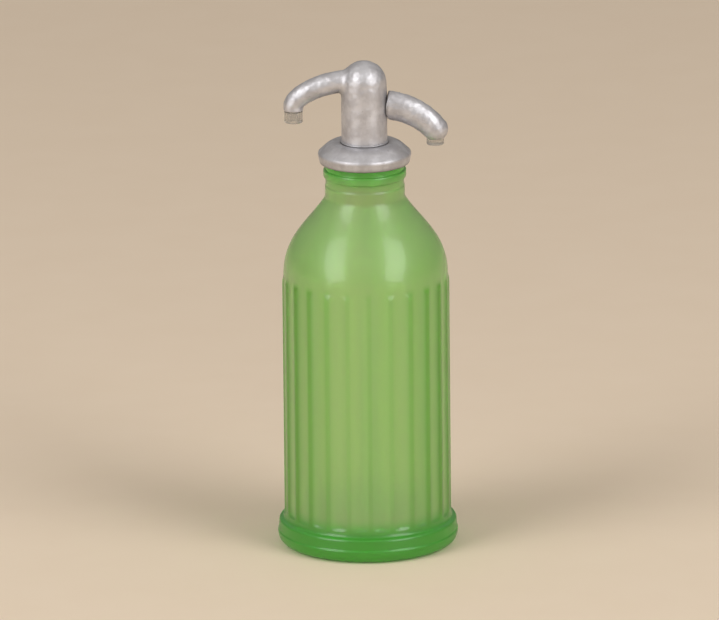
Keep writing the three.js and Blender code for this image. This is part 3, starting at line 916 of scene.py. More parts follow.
@dataclass
class GlassBottle:
    """The bottle: a flared foot, a fluted body, a dome shoulder and a neck with a bead and a plain lip."""

    body_radius: float = 49.8
    body_foot: float = 18.5
    body_top: float = 160.0
    skirt_top: Point = (52.95, 14.6)
    skirt_foot: Point = (53.35, 8.1)
    ledge: Point = (50.7, 15.4)
    skirt_round: float = 1.3
    rim_radius: float = 53.8
    rim_height: float = 7.3
    foot_radius: float = 46.4
    foot_ring: float = 5.1
    punt_rise: float = 5.0
    shoulder_radius: float = 49.0
    shoulder_foot: float = 165.8
    shoulder_swell: float = 186.4
    shoulder_slope: Point = (35.5, 196.2)
    shoulder_top: Point = (25.7, 210.0)
    neck_radius: float = 23.8
    neck_foot: float = 214.8
    band_foot: float = 220.2
    band_radius: float = 23.4
    bead_foot: float = 225.2
    bead_top: float = 230.4
    bead_radius: float = 24.7
    lip_radius: float = 22.4
    mouth: float = 17.6
    wall: float = 5.5
    base: float = 9.0
    flutes: int = 24
    flute_ridge: float = 1.5
    flute_depth: float = 1.1
    flute_run_out: float = 4.5
    flute_foot: float = 20.5
    flute_turn: float = 2.0
    ridge_round: float = 0.3
    ridge_reach: float = 1.4
    ridge_depth: float = 0.25
    # How wide the painted shade on the ridges grows, and where it grows strongest, on the sides below the
    # spout and the lever
    side_shade_reach: float = 3.0
    side_shade_start: float = 0.3
    side_shade_end: float = 0.9
    foot_fade: float = 3.0
    top_fade: float = 4.0

    def __post_init__(self) -> None:
        """Reads the height of the lip from the frame, and works out the flutes' pitch and turn in radians."""
        self.top = millimetres("bottle")[1].z
        self.pitch = 2 * math.pi / self.flutes
        self.turn = math.radians(self.flute_turn)

    def outside(self) -> list[Point]:
        """The outline of the outside, from the middle of the raised base up to the lip.

        Returns:
            Radius and height at each point.
        """
        punt = self.foot_radius - self.foot_ring
        line = Outline((0, self.punt_rise), step=3.0)
        line.curve((punt * 0.6, self.punt_rise), (punt - 0.6, 0.2))
        line.step = 0.8
        line.curve((punt - 0.2, 0), (punt + 0.6, 0)).line((self.foot_radius, 0), 1.5)
        line.curve((self.rim_radius - 0.7, 0), (self.rim_radius, 4), (self.rim_radius, self.rim_height))
        line.step = 0.15
        line.curve((self.rim_radius, self.skirt_foot[1] - 0.35), self.skirt_foot)
        line.line(towards(self.skirt_top, self.skirt_foot, self.skirt_round), 0.8)
        line.curve(self.skirt_top, towards(self.skirt_top, self.ledge, self.skirt_round))
        line.line(self.ledge, 0.6)
        body, shoulder = self.body_radius, self.shoulder_radius
        neck, band = self.neck_radius, self.band_radius
        line.curve((body + 0.1, self.ledge[1] + 0.6), (body, self.body_foot - 1), (body, self.body_foot))
        line.line((body, self.body_foot + 8), 0.7).line((body, self.body_top), 6)
        line.step = 0.5
        line.curve(
            (body, self.body_top + 3), (shoulder, self.shoulder_foot - 2.4), (shoulder, self.shoulder_foot)
        )
        line.step = 0.8
        line.curve((shoulder, self.shoulder_swell), self.shoulder_slope, self.shoulder_top)
        line.step = 0.4
        line.curve(
            (neck + 0.6, self.shoulder_top[1] + 2.2), (neck, self.neck_foot - 2), (neck, self.neck_foot)
        )
        line.line((neck, self.band_foot - 0.4), 1)
        line.step = 0.2
        line.curve((neck, self.band_foot), (band + 0.1, self.band_foot + 0.5))
        line.line((band, self.band_foot + 0.8)).line((band, self.bead_foot - 0.3), 1)
        line.curve((band, self.bead_foot), (band + 0.4, self.bead_foot + 0.1))
        line.curve((self.bead_radius, self.bead_foot + 0.3), (self.bead_radius, self.bead_foot + 1.5))
        line.line((self.bead_radius, self.bead_top - 1.5), 1)
        line.curve((self.bead_radius, self.bead_top - 0.2), (band + 0.4, self.bead_top))
        line.curve((band, self.bead_top + 0.1), (band, self.bead_top + 0.6))
        collar = millimetres("collar_nut")[0].z
        line.line((band, collar - 0.6), 1)
        line.rounded((self.lip_radius, collar - 0.4), (self.lip_radius, self.top - 1.5), 0.3)
        line.curve((self.lip_radius, self.top), (self.lip_radius - 1.5, self.top))
        return line.points

    def inside(self) -> list[Point]:
        """The outline of the inside, from the lip down to the middle of the floor.

        Returns:
            Radius and height at each point.
        """
        floor = self.punt_rise + self.base
        hollow = self.shoulder_radius - self.wall + 0.8
        corner = self.wall * 2
        line = Outline((self.mouth + 1, self.top), step=0.5)
        line.curve((self.mouth, self.top), (self.mouth, self.top - 1))
        line.step = 2.5
        line.line((self.mouth, self.shoulder_top[1]), 6)
        line.curve(
            (self.shoulder_slope[0] - self.wall, self.shoulder_slope[1] - 2),
            (hollow, self.shoulder_swell - 4), (hollow, self.shoulder_foot - 2.4),
        )
        line.line((hollow, floor + corner), 8)
        line.step = 1.2
        line.curve((hollow, floor), (hollow - corner, floor)).line((0, floor), 6)
        return line.points

    def flute_angles(self) -> Array:
        """Angles round the bottle, closer together at the ridges than across the flutes.

        Returns:
            The angles in radians.
        """
        pitch = self.pitch
        half = math.pi * self.body_radius / self.flutes
        offsets = [0, 0.3, 0.55, 0.8, 1.2, 2.0, 3.3, 4.9]
        ahead = [offset / half * pitch / 2 for offset in offsets]
        behind = [pitch - angle for angle in reversed(ahead[1:])]
        one = np.array([*ahead, pitch / 2, *behind])
        return np.concatenate([self.turn + i * pitch + one for i in range(self.flutes)])

    def fluted(self, radius: float, height: float, angles: Array) -> Array:
        """The radius round a ring of the outside, with the flutes pressed in.

        Args:
            radius: The plain radius there.
            height: The ring's height.
            angles: The angles of its points.

        Returns:
            The radius at each angle.
        """
        width = 2 * math.pi * self.body_radius / self.flutes - self.flute_ridge
        tool = width**2 / (8 * self.flute_depth) + self.flute_depth / 2
        past = max(self.flute_foot - height, 0) / self.flute_run_out
        if past >= 1:
            return np.full_like(angles, radius)
        reach = tool * math.sqrt(1 - past**2)
        offset = np.mod(angles - self.turn, self.pitch) - self.pitch / 2
        middle = self.body_radius - self.flute_depth + tool
        inside = reach**2 - (middle * np.sin(offset)) ** 2
        pressed = np.where(inside > 0, middle * np.cos(offset) - np.sqrt(np.maximum(inside, 0)), FAR)
        return blended(np.full_like(angles, radius), pressed, self.ridge_round)

    def ridged(self, p: Array) -> Array:
        """How near points lie to a ridge between two flutes, as a share of painted shade.

        Args:
            p: Points in millimetres, one in each row.

        Returns:
            A share for each point, highest on the ridges below the spout and the lever.
        """
        radius = np.hypot(p[:, 0], p[:, 1])
        half = self.pitch / 2
        angle = np.arctan2(p[:, 1], p[:, 0]) - self.turn
        away = np.abs(np.mod(angle + half, self.pitch) - half) * self.body_radius
        # The painted shade is strongest on the ridges of the sides below the spout and the lever
        side_shade = ramp(np.abs(p[:, 0]) / radius, self.side_shade_start, self.side_shade_end)
        near = 1 / (1 + (away / mixed(self.ridge_reach, self.side_shade_reach, side_shade)) ** 4)
        foot, top = self.flute_foot - self.flute_run_out, self.shoulder_foot + 1.5
        faded = ramp(p[:, 2], foot, foot + self.foot_fade) * ramp(p[:, 2], top, top - self.top_fade)
        outside = radius > self.shoulder_radius - 0.3
        return near * faded * outside * mixed(self.ridge_depth, 1, side_shade)

    def build(self, finish: PressedGlass) -> Piece:
        """Builds and dresses the bottle.

        Args:
            finish: The glass.

        Returns:
            The bottle.
        """
        angles = self.flute_angles()
        rings = []
        for radius, height in self.outside():
            in_mould = self.rim_height <= height <= self.shoulder_foot + 8
            pressed = self.fluted(radius, height, angles) if in_mould else radius
            rings.append(circle(pressed, height, angles))
        rings.extend(circle(radius, height, angles) for radius, height in self.inside())
        piece = skin("glass_bottle", rings)
        # Painted shade along the flute ridges
        marked(piece, RIDGE, self.ridged)
        return placed(piece, Body.SIPHON, finish.material(), "bottle", 60)


@dataclass
class CollarNut:
    """The nut that clamps the head on the neck: a thick rounded disc with a waist line."""

    radius: float = 27.95
    foot: float = 26.7
    brim: float = 239.8
    shelf: float = 19.0
    shelf_height: float = 246.4
    clearance: float = 0.3
    shade_reach: float = 0.8

    def build(self, bottle: GlassBottle, column: float, finish: Material) -> Piece:
        """Builds and dresses the nut.

        Args:
            bottle: The bottle whose neck it grips.
            column: The radius of the column that stands through it.
            finish: The silver finish.

        Returns:
            The nut.
        """
        low = millimetres("collar_nut")[0].z
        bore = bottle.lip_radius + self.clearance
        hole = column + self.clearance
        top = self.shelf_height
        web = millimetres("neck_gasket")[1].z + self.clearance * 2 + HeadCasting.flange_thick
        line = Outline((bore, low), step=0.4)
        line.line((self.foot - 0.5, low), 1.5).curve((self.foot, low), (self.foot + 0.15, low + 0.5))
        line.line((self.radius - 0.35, self.brim - 1.4), 0.8)
        line.curve((self.radius, self.brim - 0.3), (self.radius - 0.5, self.brim + 0.75))
        line.line((self.shelf + 4.4, top - 2.1), 0.8)
        line.curve((self.shelf + 2.2, top - 0.3), (self.shelf, top))
        line.line((hole + 0.6, top + 0.1), 0.8)
        line.curve((hole, top + 0.1), (hole, top - 0.5))
        line.line((hole, web)).line((bore, web), 2).line((bore, low), 2)
        piece = turned("silver_collar", line.points[:-1], 192)

        def shade_and_wear(p: Array) -> Array:
            """The share of painted shade at each point: against the column on top, and on the lower edge."""
            corner = fading(np.hypot(p[:, 0], p[:, 1]) - hole, self.shade_reach) * (p[:, 2] > top - 2)
            return 0.55 * corner + 0.9 * fading(p[:, 2] - low, self.shade_reach)

        # Painted shade where the nut meets the column and along its lower edge against the glass
        marked(piece, CREASE_SHADE, shade_and_wear)
        return placed(piece, Body.SIPHON, finish, "collar_nut", 40)


@dataclass
class HeadCasting:
    """The head: a round-topped column with the spout cast in one, and the waterways bored through it."""

    radius: float = 13.75
    reach: float = 42.0
    drop: float = 16.9
    straight: float = 3.2
    rise: float = 4.2
    run_share: float = 0.48
    fall_share: float = 0.45
    spout_root: float = 7.4
    spout_tip: float = 6.1
    spout_bore: float = 2.4
    spigot: float = 17.3
    spigot_length: float = 17.0
    chamber: float = 12.0
    riser: float = 1.9
    gland_shoulder: float = 1.0
    clearance: float = 0.3
    fillet: float = 2.4
    voxel: float = 0.5
    bead: float = 14.4
    bead_height: float = 1.1
    tongue_half_width: float = 3.0
    tongue_half_height: float = 3.2
    slot_travel: float = 2.31
    pin_bore: float = 1.52
    flange_proud: float = 3.7
    flange_thick: float = 1.7
    turned_share: float = 0.35

    def __post_init__(self) -> None:
        """Reads the heights that other pieces set from the frame."""
        self.dome = millimetres("head_body")[1].z - self.radius
        self.spout_end = self.dome - self.drop
        self.collar_top = CollarNut.shelf_height + 0.1
        self.flange_foot = millimetres("neck_gasket")[1].z + self.clearance
        self.flange_top = self.flange_foot + self.flange_thick
        pin_low, pin_high = millimetres("lever_pin")
        self.pivot = ((pin_low.x + pin_high.x) / 2, (pin_low.z + pin_high.z) / 2)

    def spout_line(self, count: int = 90) -> Array:
        """Centre, radius and direction along the spout, as rows of x, z, radius, dx and dz.

        Args:
            count: How many steps the bend has.

        Returns:
            A row for each place along the spout.
        """
        bend_end = self.spout_end + self.straight
        controls = [
            (0.0, self.dome + 0.6), (-self.reach * self.run_share, self.dome + self.rise),
            (-self.reach, mixed(bend_end, self.dome, self.fall_share)), (-self.reach, bend_end),
        ]
        bend = [bezier(controls, i / count) for i in range(count + 1)]
        tail = [(-self.reach, bend_end - (self.straight + 3) * i / 12) for i in range(1, 13)]
        places = np.array(bend + tail)
        run = np.concatenate([[0], np.cumsum(np.linalg.norm(np.diff(places, axis=0), axis=1))])
        radius = mixed(self.spout_root, self.spout_tip, np.minimum(run / run[-4], 1))
        return np.column_stack([places, radius, headings(places)])

    def field(self, points: Array) -> Array:
        """Distance in millimetres from the cast surface of column, dome and spout.

        Args:
            points: Points in millimetres, one in each row.

        Returns:
            The distance at each point, less than 0 inside.
        """
        upper = points - np.array([0, 0, self.dome])
        round_column = np.hypot(points[:, 0], points[:, 1])
        column = np.where(upper[:, 2] > 0, np.linalg.norm(upper, axis=1), round_column) - self.radius
        spout = np.full(len(points), FAR)
        for x, z, radius, _, _ in self.spout_line():
            gap = np.sqrt((points[:, 0] - x) ** 2 + points[:, 1] ** 2 + (points[:, 2] - z) ** 2)
            spout = np.minimum(spout, gap - radius)
        below = np.where(points[:, 0] < -self.reach / 2, self.spout_end - points[:, 2], -FAR)
        spout = -blended(-spout, -below, 0.8)
        return blended(column, spout, self.fillet)

    def spout_rings(self, radius: float | None = None, start: int = 0) -> list[Array]:
        """Rings of points along the spout.

        Args:
            radius: One radius for all rings, or None for the spout's own.
            start: The first place of the spout's line that has a ring.

        Returns:
            The rings in millimetres.
        """
        stations = [s for s in self.spout_line()[start:] if s[1] > self.spout_end + 0.3 or radius]
        return [across((x, z), (dx, dz), radius or own, radius or own, 48) for x, z, own, dx, dz in stations]

    def outer_form(self) -> Piece:
        """The casting before it is bored: column, dome and spout in one skin, on a flange and spigot.

        Returns:
            The casting.
        """
        shaft = Outline((0, self.flange_top - 1.2), step=0.8)
        shaft.line((self.radius, self.flange_top - 1.2)).line((self.radius, self.dome))
        arc = [
            (self.radius * math.cos(a), self.dome + self.radius * math.sin(a))
            for a in np.linspace(0, math.pi / 2, 24)[1:-1]
        ]
        shaft.points.extend([*arc, (0, self.dome + self.radius)])
        piece = turned("silver_head", shaft.points, 96)
        joined(piece, [capped("spout", self.spout_rings())], "UNION")
        recast(piece, self.voxel)
        drawn_onto(piece, lambda p: self.upper_only(p, self.field(p)))
        drawn_onto(piece, lambda p: self.upper_only(p, self.field(p) + unevenness(p) * self.handwork(p)), 1)
        flange = self.spigot + self.flange_proud
        foot = self.flange_foot - self.spigot_length
        stem = Outline((0, foot)).line((self.spigot - 1, foot)).line((self.spigot, foot + 1))
        stem.line((self.spigot, self.flange_foot)).line((flange, self.flange_foot))
        stem.line((flange, self.flange_top)).line((self.radius, self.flange_top))
        stem.line((self.radius - 0.05, self.collar_top - 1.1)).line((0, self.collar_top - 1.1))
        ring = Outline((self.radius - 1, self.collar_top + 0.05), step=0.2)
        ring.line((self.bead - 0.4, self.collar_top + 0.05))
        ring.curve(
            (self.bead + 0.1, self.collar_top + 0.1),
            (self.bead + 0.1, self.collar_top + self.bead_height - 0.2),
            (self.radius - 0.1, self.collar_top + self.bead_height),
        )
        ring.line((self.radius - 1, self.collar_top + self.bead_height))
        joined(piece, [turned("bead", ring.points, 128)], "UNION")
        return joined(piece, [turned("spigot", stem.points, 128)], "UNION")

    def handwork(self, points: Array) -> Array:
        """How much of the unevenness the head has: little on the column, which was turned true.

        Args:
            points: Points in millimetres, one in each row.

        Returns:
            A share for each point.
        """
        above = ramp(points[:, 2], self.dome - 6, self.dome)
        aside = ramp(-points[:, 0], self.radius, self.radius + 1)
        return mixed(self.turned_share, 1, np.maximum(above, aside))

    def upper_only(self, points: Array, distance: Array) -> Array:
        """Leaves points below the collar's top where they are."""
        return np.where(points[:, 2] > self.collar_top - 0.5, distance, 0)

    def waterways(self) -> list[Piece]:
        """The hollows of the head, as solids to cut away.

        Returns:
            The solids.
        """
        gland = millimetres("gland_washer")[1]
        gland_top = gland.z + self.clearance
        gland_radius = gland.x + self.clearance
        chamber_top = millimetres("gland_nut")[0].z - self.clearance
        bore = gland_radius - self.gland_shoulder
        bore_top = millimetres("spring_seat")[1].z + self.clearance
        spigot_end = self.flange_foot - self.spigot_length
        offset = (gland_radius + self.radius) / 2
        nozzle_low, nozzle_high = millimetres("spout_nozzle")
        socket = ClearTips.spigot + self.clearance
        start = next(i for i, s in enumerate(self.spout_line()) if -s[0] > offset - self.riser)
        return [
            bored("chamber", self.chamber, spigot_end - 1, chamber_top),
            bored("gland_bore", gland_radius, chamber_top - 1, gland_top),
            bored("plunger_bore", bore, gland_top - 1, bore_top),
            bored("riser_bore", self.riser, chamber_top - 1, self.dome + 1, -offset),
            capped("spout_bore", self.spout_rings(self.spout_bore, start)),
            bored("nozzle_socket", socket, self.spout_end - 1, nozzle_high.z + self.clearance, -self.reach),
        ]

    def lever_openings(self) -> list[Piece]:
        """The lever's slot through the column's side, and the hole for its pin.

        Returns:
            The solids to cut away.
        """
        half = self.tongue_half_width + self.clearance
        x, z = self.pivot
        low = z - self.tongue_half_height - self.slot_travel / 2 - self.clearance / 2
        high = z + self.tongue_half_height + self.slot_travel / 2 + self.clearance
        return [
            block("slot", (0, -half, low), (self.radius + 2, half, high)),
            lying("pin_hole", self.pin_bore, x, z, self.radius),
        ]

    def build(self, finish: Material) -> Piece:
        """Builds and dresses the head.

        Args:
            finish: The silver finish.

        Returns:
            The head.
        """
        piece = self.outer_form()
        joined(piece, self.waterways(), "DIFFERENCE")
        joined(piece, self.lever_openings(), "DIFFERENCE")
        # Painted shade at the head's foot, under the spout and beside the lever
        marked(piece, CREASE_SHADE, self.shade_and_wear)
        return placed(piece, Body.SIPHON, finish, "head_body", 40)

    def shade_and_wear(self, p: Array) -> Array:
        """Where the head is given painted shade: at its foot, under the spout's root and round the lever's
        slot.

        Args:
            p: Points in millimetres, one in each row.

        Returns:
            The share of painted shade at each point.
        """
        foot = 0.75 * fading(np.abs(p[:, 2] - self.collar_top), 0.7)
        # Below the spout's root the painted shade fills the corner, 9 mm round the column and 3 mm high
        corner, reach = np.array([-self.radius - 1.5, 0, self.dome - 5.5]), np.array([3.5, 9, 3.0])
        under = 0.55 * np.exp(-(np.linalg.norm((p - corner) / reach, axis=1) ** 2))
        # Round the slot the painted shade lies on the column's side, from 4 to 18 mm above the pin
        side = fading(self.radius - 1.6 - p[:, 0], 1.2)
        beside = 0.3 * side * ramp(np.abs(p[:, 2] - self.pivot[1] - 11), 7, 2)
        return np.maximum(np.maximum(foot, under), beside)


def bored(name: str, radius: float, low: float, high: float, x: float = 0.0) -> Piece:
    """An upright rod between two heights, to cut a bore with."""
    return turned(name, [(0, low), (radius, low), (radius, high), (0, high)], 64, (x, 0))


@dataclass
class LeverArm:
    """The lever: an oval arm that curves down to a round tip, with a tongue that turns on the pin."""

    reach: float = 42.1
    drop: float = 15.0
    run_share: float = 0.52
    bend_share: float = 0.81
    fall_share: float = 0.34
    root_half_height: float = 9.4
    root_half_width: float = 6.6
    tip_radius: float = 8.0
    root_below_dome: float = 13.7
    travel: float = 12.0
    nose_overreach: float = 0.7
    nose_radius: float = 2.4
    clearance: float = 0.15
    edge_round: float = 2.4
    edge_round_foot: float = 0.35
    round_below: float = 4.0
    round_above: float = 5.0
    pin_radius: float = 1.5
    hollows_shift: float = 40.0
    voxel: float = 0.42

    def line(self, head: HeadCasting, count: int = 60) -> Array:
        """Centre, half height, half width and direction along the arm, as rows.

        Args:
            head: The head that the lever turns in.
            count: How many steps the line has.

        Returns:
            A row for each place along the arm.
        """
        root = head.dome - self.root_below_dome
        controls = [
            (head.radius * 0.6, root + 0.5), (self.reach * self.run_share, root),
            (self.reach * self.bend_share, root - self.drop * self.fall_share),
            (self.reach, root - self.drop),
        ]
        places = np.array([bezier(controls, i / count) for i in range(count + 1)])
        shares = np.linspace(0, 1, count + 1)
        tall = mixed(self.root_half_height, self.tip_radius, shares)
        wide = mixed(self.root_half_width, self.tip_radius, shares)
        return np.column_stack([places, tall, wide, headings(places)])

    def arm_field(self, stations: Array, points: Array) -> Array:
        """Distance in millimetres from the arm's surface, with its round tip.

        Args:
            stations: The rows of the arm's line.
            points: Points in millimetres, one in each row.

        Returns:
            The distance at each point, less than 0 inside.
        """
        flat = points[:, [0, 2]]
        gaps = ((flat[:, None, :] - stations[None, :, :2]) ** 2).sum(axis=2)
        near = stations[gaps.argmin(axis=1)]
        away = flat - near[:, :2]
        along = (away * near[:, 4:6]).sum(axis=1)
        up = away[:, 1] * near[:, 4] - away[:, 0] * near[:, 5]
        shape = np.sqrt(
            (up / near[:, 2]) ** 2 + (points[:, 1] / near[:, 3]) ** 2 + (along / self.tip_radius) ** 2
        )
        return (shape - 1) * np.minimum(near[:, 2], near[:, 3])

    def column_field(self, head: HeadCasting, points: Array) -> Array:
        """How deep points lie in the room that the column needs over the lever's travel.

        Args:
            head: The head that the lever turns in.
            points: Points in millimetres, one in each row.

        Returns:
            The depth of each point, less than 0 outside.
        """
        x, z = head.pivot
        deepest = np.full(len(points), -FAR)
        for turn in np.radians(np.linspace(0, self.travel, 7)):
            dx, dz = points[:, 0] - x, points[:, 2] - z
            moved = x + dx * math.cos(turn) + dz * math.sin(turn)
            room = head.radius + self.clearance - np.hypot(moved, points[:, 1])
            deepest = np.maximum(deepest, room)
        return deepest

    def build(self, head: HeadCasting, finish: Material) -> Piece:
        """Builds and dresses the lever.

        Args:
            head: The head that it turns in.
            finish: The silver finish.

        Returns:
            The lever.
        """
        stations = self.line(head)
        root = head.dome - self.root_below_dome
        piece = skin("silver_lever", self.rings(stations))
        column = bored("column", head.radius + self.clearance, head.flange_top, head.dome + head.radius)
        joined(piece, [column], "DIFFERENCE")
        recast(piece, self.voxel)

        def form(points: Array) -> Array:
            """The arm with its root cut back from the column and the edge rounded.

            Args:
                points: Points in millimetres, one in each row.

            Returns:
                The distance at each point, less than 0 inside.
            """
            arm = self.arm_field(stations, points)
            up = ramp(points[:, 2], root - self.round_below, root + self.round_above)
            rounding = mixed(self.edge_round_foot, self.edge_round, up)
            return -blended(-arm, -self.column_field(head, points), rounding)

        drawn_onto(piece, form, 5)
        drawn_onto(piece, lambda p: form(p) + unevenness(p + self.hollows_shift), 1)
        x, z = head.pivot
        joined(piece, [self.tongue(head)], "UNION")
        plug = millimetres("lever_plug")
        socket = (plug[1].x - plug[0].x) / 2 + self.clearance
        joined(
            piece,
            [
                bored("plug_socket", socket, plug[0].z - 1, plug[1].z + self.clearance, self.reach),
                lying("pin_hole", self.pin_radius + self.clearance, x, z, head.tongue_half_width + 1),
            ],
            "DIFFERENCE",
        )
        # Painted shade on the lever's root, in the gap against the column
        marked(piece, CREASE_SHADE, lambda p: 0.4 * fading(p[:, 0] - head.radius - self.clearance, 0.25))
        return placed(piece, Body.LEVER, finish, "lever", 40)

    def rings(self, stations: Array) -> list[Array]:
        """Rings along the arm and over its round tip, with poles at both ends.

        Args:
            stations: The rows of the arm's line.

        Returns:
            The rings in millimetres.
        """
        rows = [tuple(station) for station in stations]
        x, z, tall, wide, dx, dz = rows[-1]
        for share in np.linspace(0, math.pi / 2, 10)[1:-1]:
            out = self.tip_radius * math.sin(share)
            rows.append((x + dx * out, z + dz * out, tall * math.cos(share), wide * math.cos(share), dx, dz))
        rings = [across((x, z), (dx, dz), tall, wide, 64) for x, z, tall, wide, dx, dz in rows]
        tip = (x + dx * self.tip_radius, z + dz * self.tip_radius)
        return [rings[0].mean(axis=0)[None, :], *rings, np.array([[tip[0], 0, tip[1]]])]

    def tongue(self, head: HeadCasting) -> Piece:
        """The flat tongue that runs through the slot and ends in a round nose under the plunger's roof.

        Args:
            head: The head that the lever turns in.

        Returns:
            The tongue.
        """
        z = head.pivot[1]
        nose = -self.nose_overreach
        step = millimetres("plunger")[1].x + self.clearance + 1
        outer = head.radius + 3
        tall = head.tongue_half_height
        arc = [
            (nose - self.nose_radius * math.sin(a), z + self.nose_radius * math.cos(a))
            for a in np.linspace(0, math.pi, 16)
        ]
        side = [
            *arc, (step, z - self.nose_radius), (step + 1, z - tall), (outer, z - tall), (outer, z + tall),
            (step + 1, z + tall), (step, z + self.nose_radius),
        ]
        half = head.tongue_half_width
        rings = [np.array([(px, y, pz) for px, pz in side]) for y in (-half, half)]
        middle = np.mean(rings[0], axis=0)[0]
        caps = [np.array([[middle, y, z]]) for y in (-half, half)]
        return skin("tongue", [caps[0], *rings, caps[1]])


@dataclass
class ClearTips:
    """The clear pieces at the arms' ends: the spout's nozzle and the plug under the lever's tip."""

    bore: float = 2.4
    spigot: float = 4.1
    edge: float = 0.6

    def nozzle(self, head: HeadCasting, finish: Material) -> Piece:
        """The short tube in the end of the spout.

        Args:
            head: The head whose spout it ends.
            finish: The clear plastic.

        Returns:
            The nozzle.
        """
        low, high = millimetres("spout_nozzle")
        radius = (high.x - low.x) / 2
        shoulder = head.spout_end - head.clearance
        line = Outline((self.bore, low.z + 0.3), step=0.15)
        line.curve((self.bore, low.z), (self.bore + 0.3, low.z))
        line.line((radius - self.edge, low.z)).curve((radius, low.z), (radius, low.z + self.edge))
        line.line((radius, shoulder - 0.2), 1).curve((radius, shoulder), (radius - 0.2, shoulder))
        line.line((self.spigot, shoulder)).line((self.spigot, high.z), 1).line((self.bore, high.z))
        line.line((self.bore, low.z + 1), 1)
        piece = turned("clear_nozzle", line.points, 96, (-head.reach, 0))
        return placed(piece, Body.SIPHON, finish, "spout_nozzle")

    def plug(self, lever: LeverArm, finish: Material) -> Piece:
        """The short plug in the lever's tip.

        Args:
            lever: The lever that holds it.
            finish: The clear plastic.

        Returns:
            The plug.
        """
        low, high = millimetres("lever_plug")
        radius = (high.x - low.x) / 2
        line = Outline((0, low.z + 0.2), step=0.15)
        line.curve((radius * 0.6, low.z), (radius - self.edge, low.z))
        line.curve((radius, low.z), (radius, low.z + self.edge))
        line.line((radius, high.z), 1).line((0, high.z))
        piece = turned("clear_plug", line.points, 96, (lever.reach, 0))
        return placed(piece, Body.LEVER, finish, "lever_plug")


@dataclass
class ValveTrain:
    """What works inside: plunger, spring, seals, nuts and the dip tube."""

    tube_wall: float = 1.5
    tube_cut: float = 35.0
    wire: float = 0.8
    wire_rings: int = 241
    wire_sides: int = 14
    turns: float = 4.0
    dead_turns: float = 0.5
    lift: float = 2.32
    gasket_bore: float = 17.9

    def tube(self, finish: Material) -> Piece:
        """The dip tube, cut aslant at its foot so that it can't seal on the floor.

        Args:
            finish: The clear glass.

        Returns:
            The tube.
        """
        low, high = millimetres("dip_tube")
        radius = high.x
        bore = radius - self.tube_wall
        line = Outline((bore, low.z), step=0.3).line((radius, low.z)).line((radius, high.z - 0.4), 12)
        line.curve((radius, high.z), (radius - 0.4, high.z)).line((bore + 0.4, high.z))
        line.curve((bore, high.z), (bore, high.z - 0.4)).line((bore, low.z + 12), 12)
        piece = turned("dip_tube_glass", line.points, 64)
        slope = math.tan(math.radians(self.tube_cut))
        for vertex in piece.data.vertices:
            if vertex.co.z < (low.z + 6) * MM:
                vertex.co.z = low.z * MM + (radius * MM - vertex.co.x) * slope
        return placed(piece, Body.SIPHON, finish, "dip_tube")

    def spring(self, finish: Material) -> Piece:
        """The plunger's spring: one round wire with a flat half turn at each end.

        Args:
            finish: The steel.

        Returns:
            The spring.
        """
        low, high = millimetres("plunger_spring")
        thick = self.wire / 2
        shares = np.linspace(0, 1, self.wire_rings)
        live = ramp(shares * self.turns, self.dead_turns, self.turns - self.dead_turns)
        angle = 2 * math.pi * self.turns * shares
        outward = np.stack([np.cos(angle), np.sin(angle), np.zeros_like(angle)], axis=1)
        centres = outward * (high.x - thick)
        centres[:, 2] = mixed(low.z + thick, high.z - thick, live)
        turn = around(self.wire_sides)[:, None]
        out, up = thick * np.cos(turn), thick * np.sin(turn)
        rings = [centre + out * away + up * np.array([0, 0, 1]) for centre, away in zip(centres, outward)]
        piece = skin("valve_spring", [centres[:1], *rings, centres[-1:]])
        placed(piece, Body.SIPHON, finish, "plunger_spring", 50)
        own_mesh(piece)
        return piece

    def pin(self, head: HeadCasting, finish: Material) -> Piece:
        """The lever's pin, filed to the column's round.

        Args:
            head: The head that it goes through.
            finish: The finish of its ends.

        Returns:
            The pin.
        """
        low, high = millimetres("lever_pin")
        radius = (high.z - low.z) / 2
        x, z = head.pivot
        angles = around(48)
        rings = []
        for side in (-1, 1):
            px = x + radius * np.cos(angles)
            py = side * np.sqrt(head.radius**2 - px**2)
            rings.append(np.stack([px, py, z + radius * np.sin(angles)], axis=1))
            rings.append(np.array([[x, side * math.sqrt(head.radius**2 - x**2), z]]))
        piece = skin("steel_pin", [rings[1], rings[0], rings[2], rings[3]])
        return placed(piece, Body.SIPHON, finish, "lever_pin")

    def gasket(self, finish: Material) -> Piece:
        """The ring between the lip of the glass and the head, with rounded edges.

        Args:
            finish: The rubber.

        Returns:
            The gasket.
        """
        low, high = millimetres("neck_gasket")
        outer, inner = high.x, self.gasket_bore
        line = Outline((inner, low.z + 0.3), step=0.15).curve((inner, low.z), (inner + 0.3, low.z))
        line.line((outer - 0.5, low.z)).curve((outer, low.z), (outer, (low.z + high.z) / 2))
        line.curve((outer, high.z), (outer - 0.5, high.z)).line((inner + 0.3, high.z))
        line.curve((inner, high.z), (inner, high.z - 0.3))
        piece = turned("rubber_gasket", line.points, 128)
        return placed(piece, Body.SIPHON, finish, "neck_gasket")

    def dress(self, finishes: dict[Slot, Material]) -> None:
        """Gives the frame's own inner nodes their finish.

        Args:
            finishes: The material of each slot.
        """
        kept = {
            Slot.RUBBER: ["gland_packing", "valve_washer", "tube_sleeve"],
            Slot.STEEL: ["valve_screw"],
            Slot.BRASS: [
                "spring_seat", "gland_washer", "gland_nut", "seat_nut", "tube_nut", "plunger", "valve_cup",
            ],
            Slot.FIBRE: ["seat_washer"],
        }
        for slot, nodes in kept.items():
            for name in nodes:
                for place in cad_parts[name].material_slots:
                    place.material = finishes[slot]
                LOG.info("%s has the finish %s", name, finishes[slot].name)


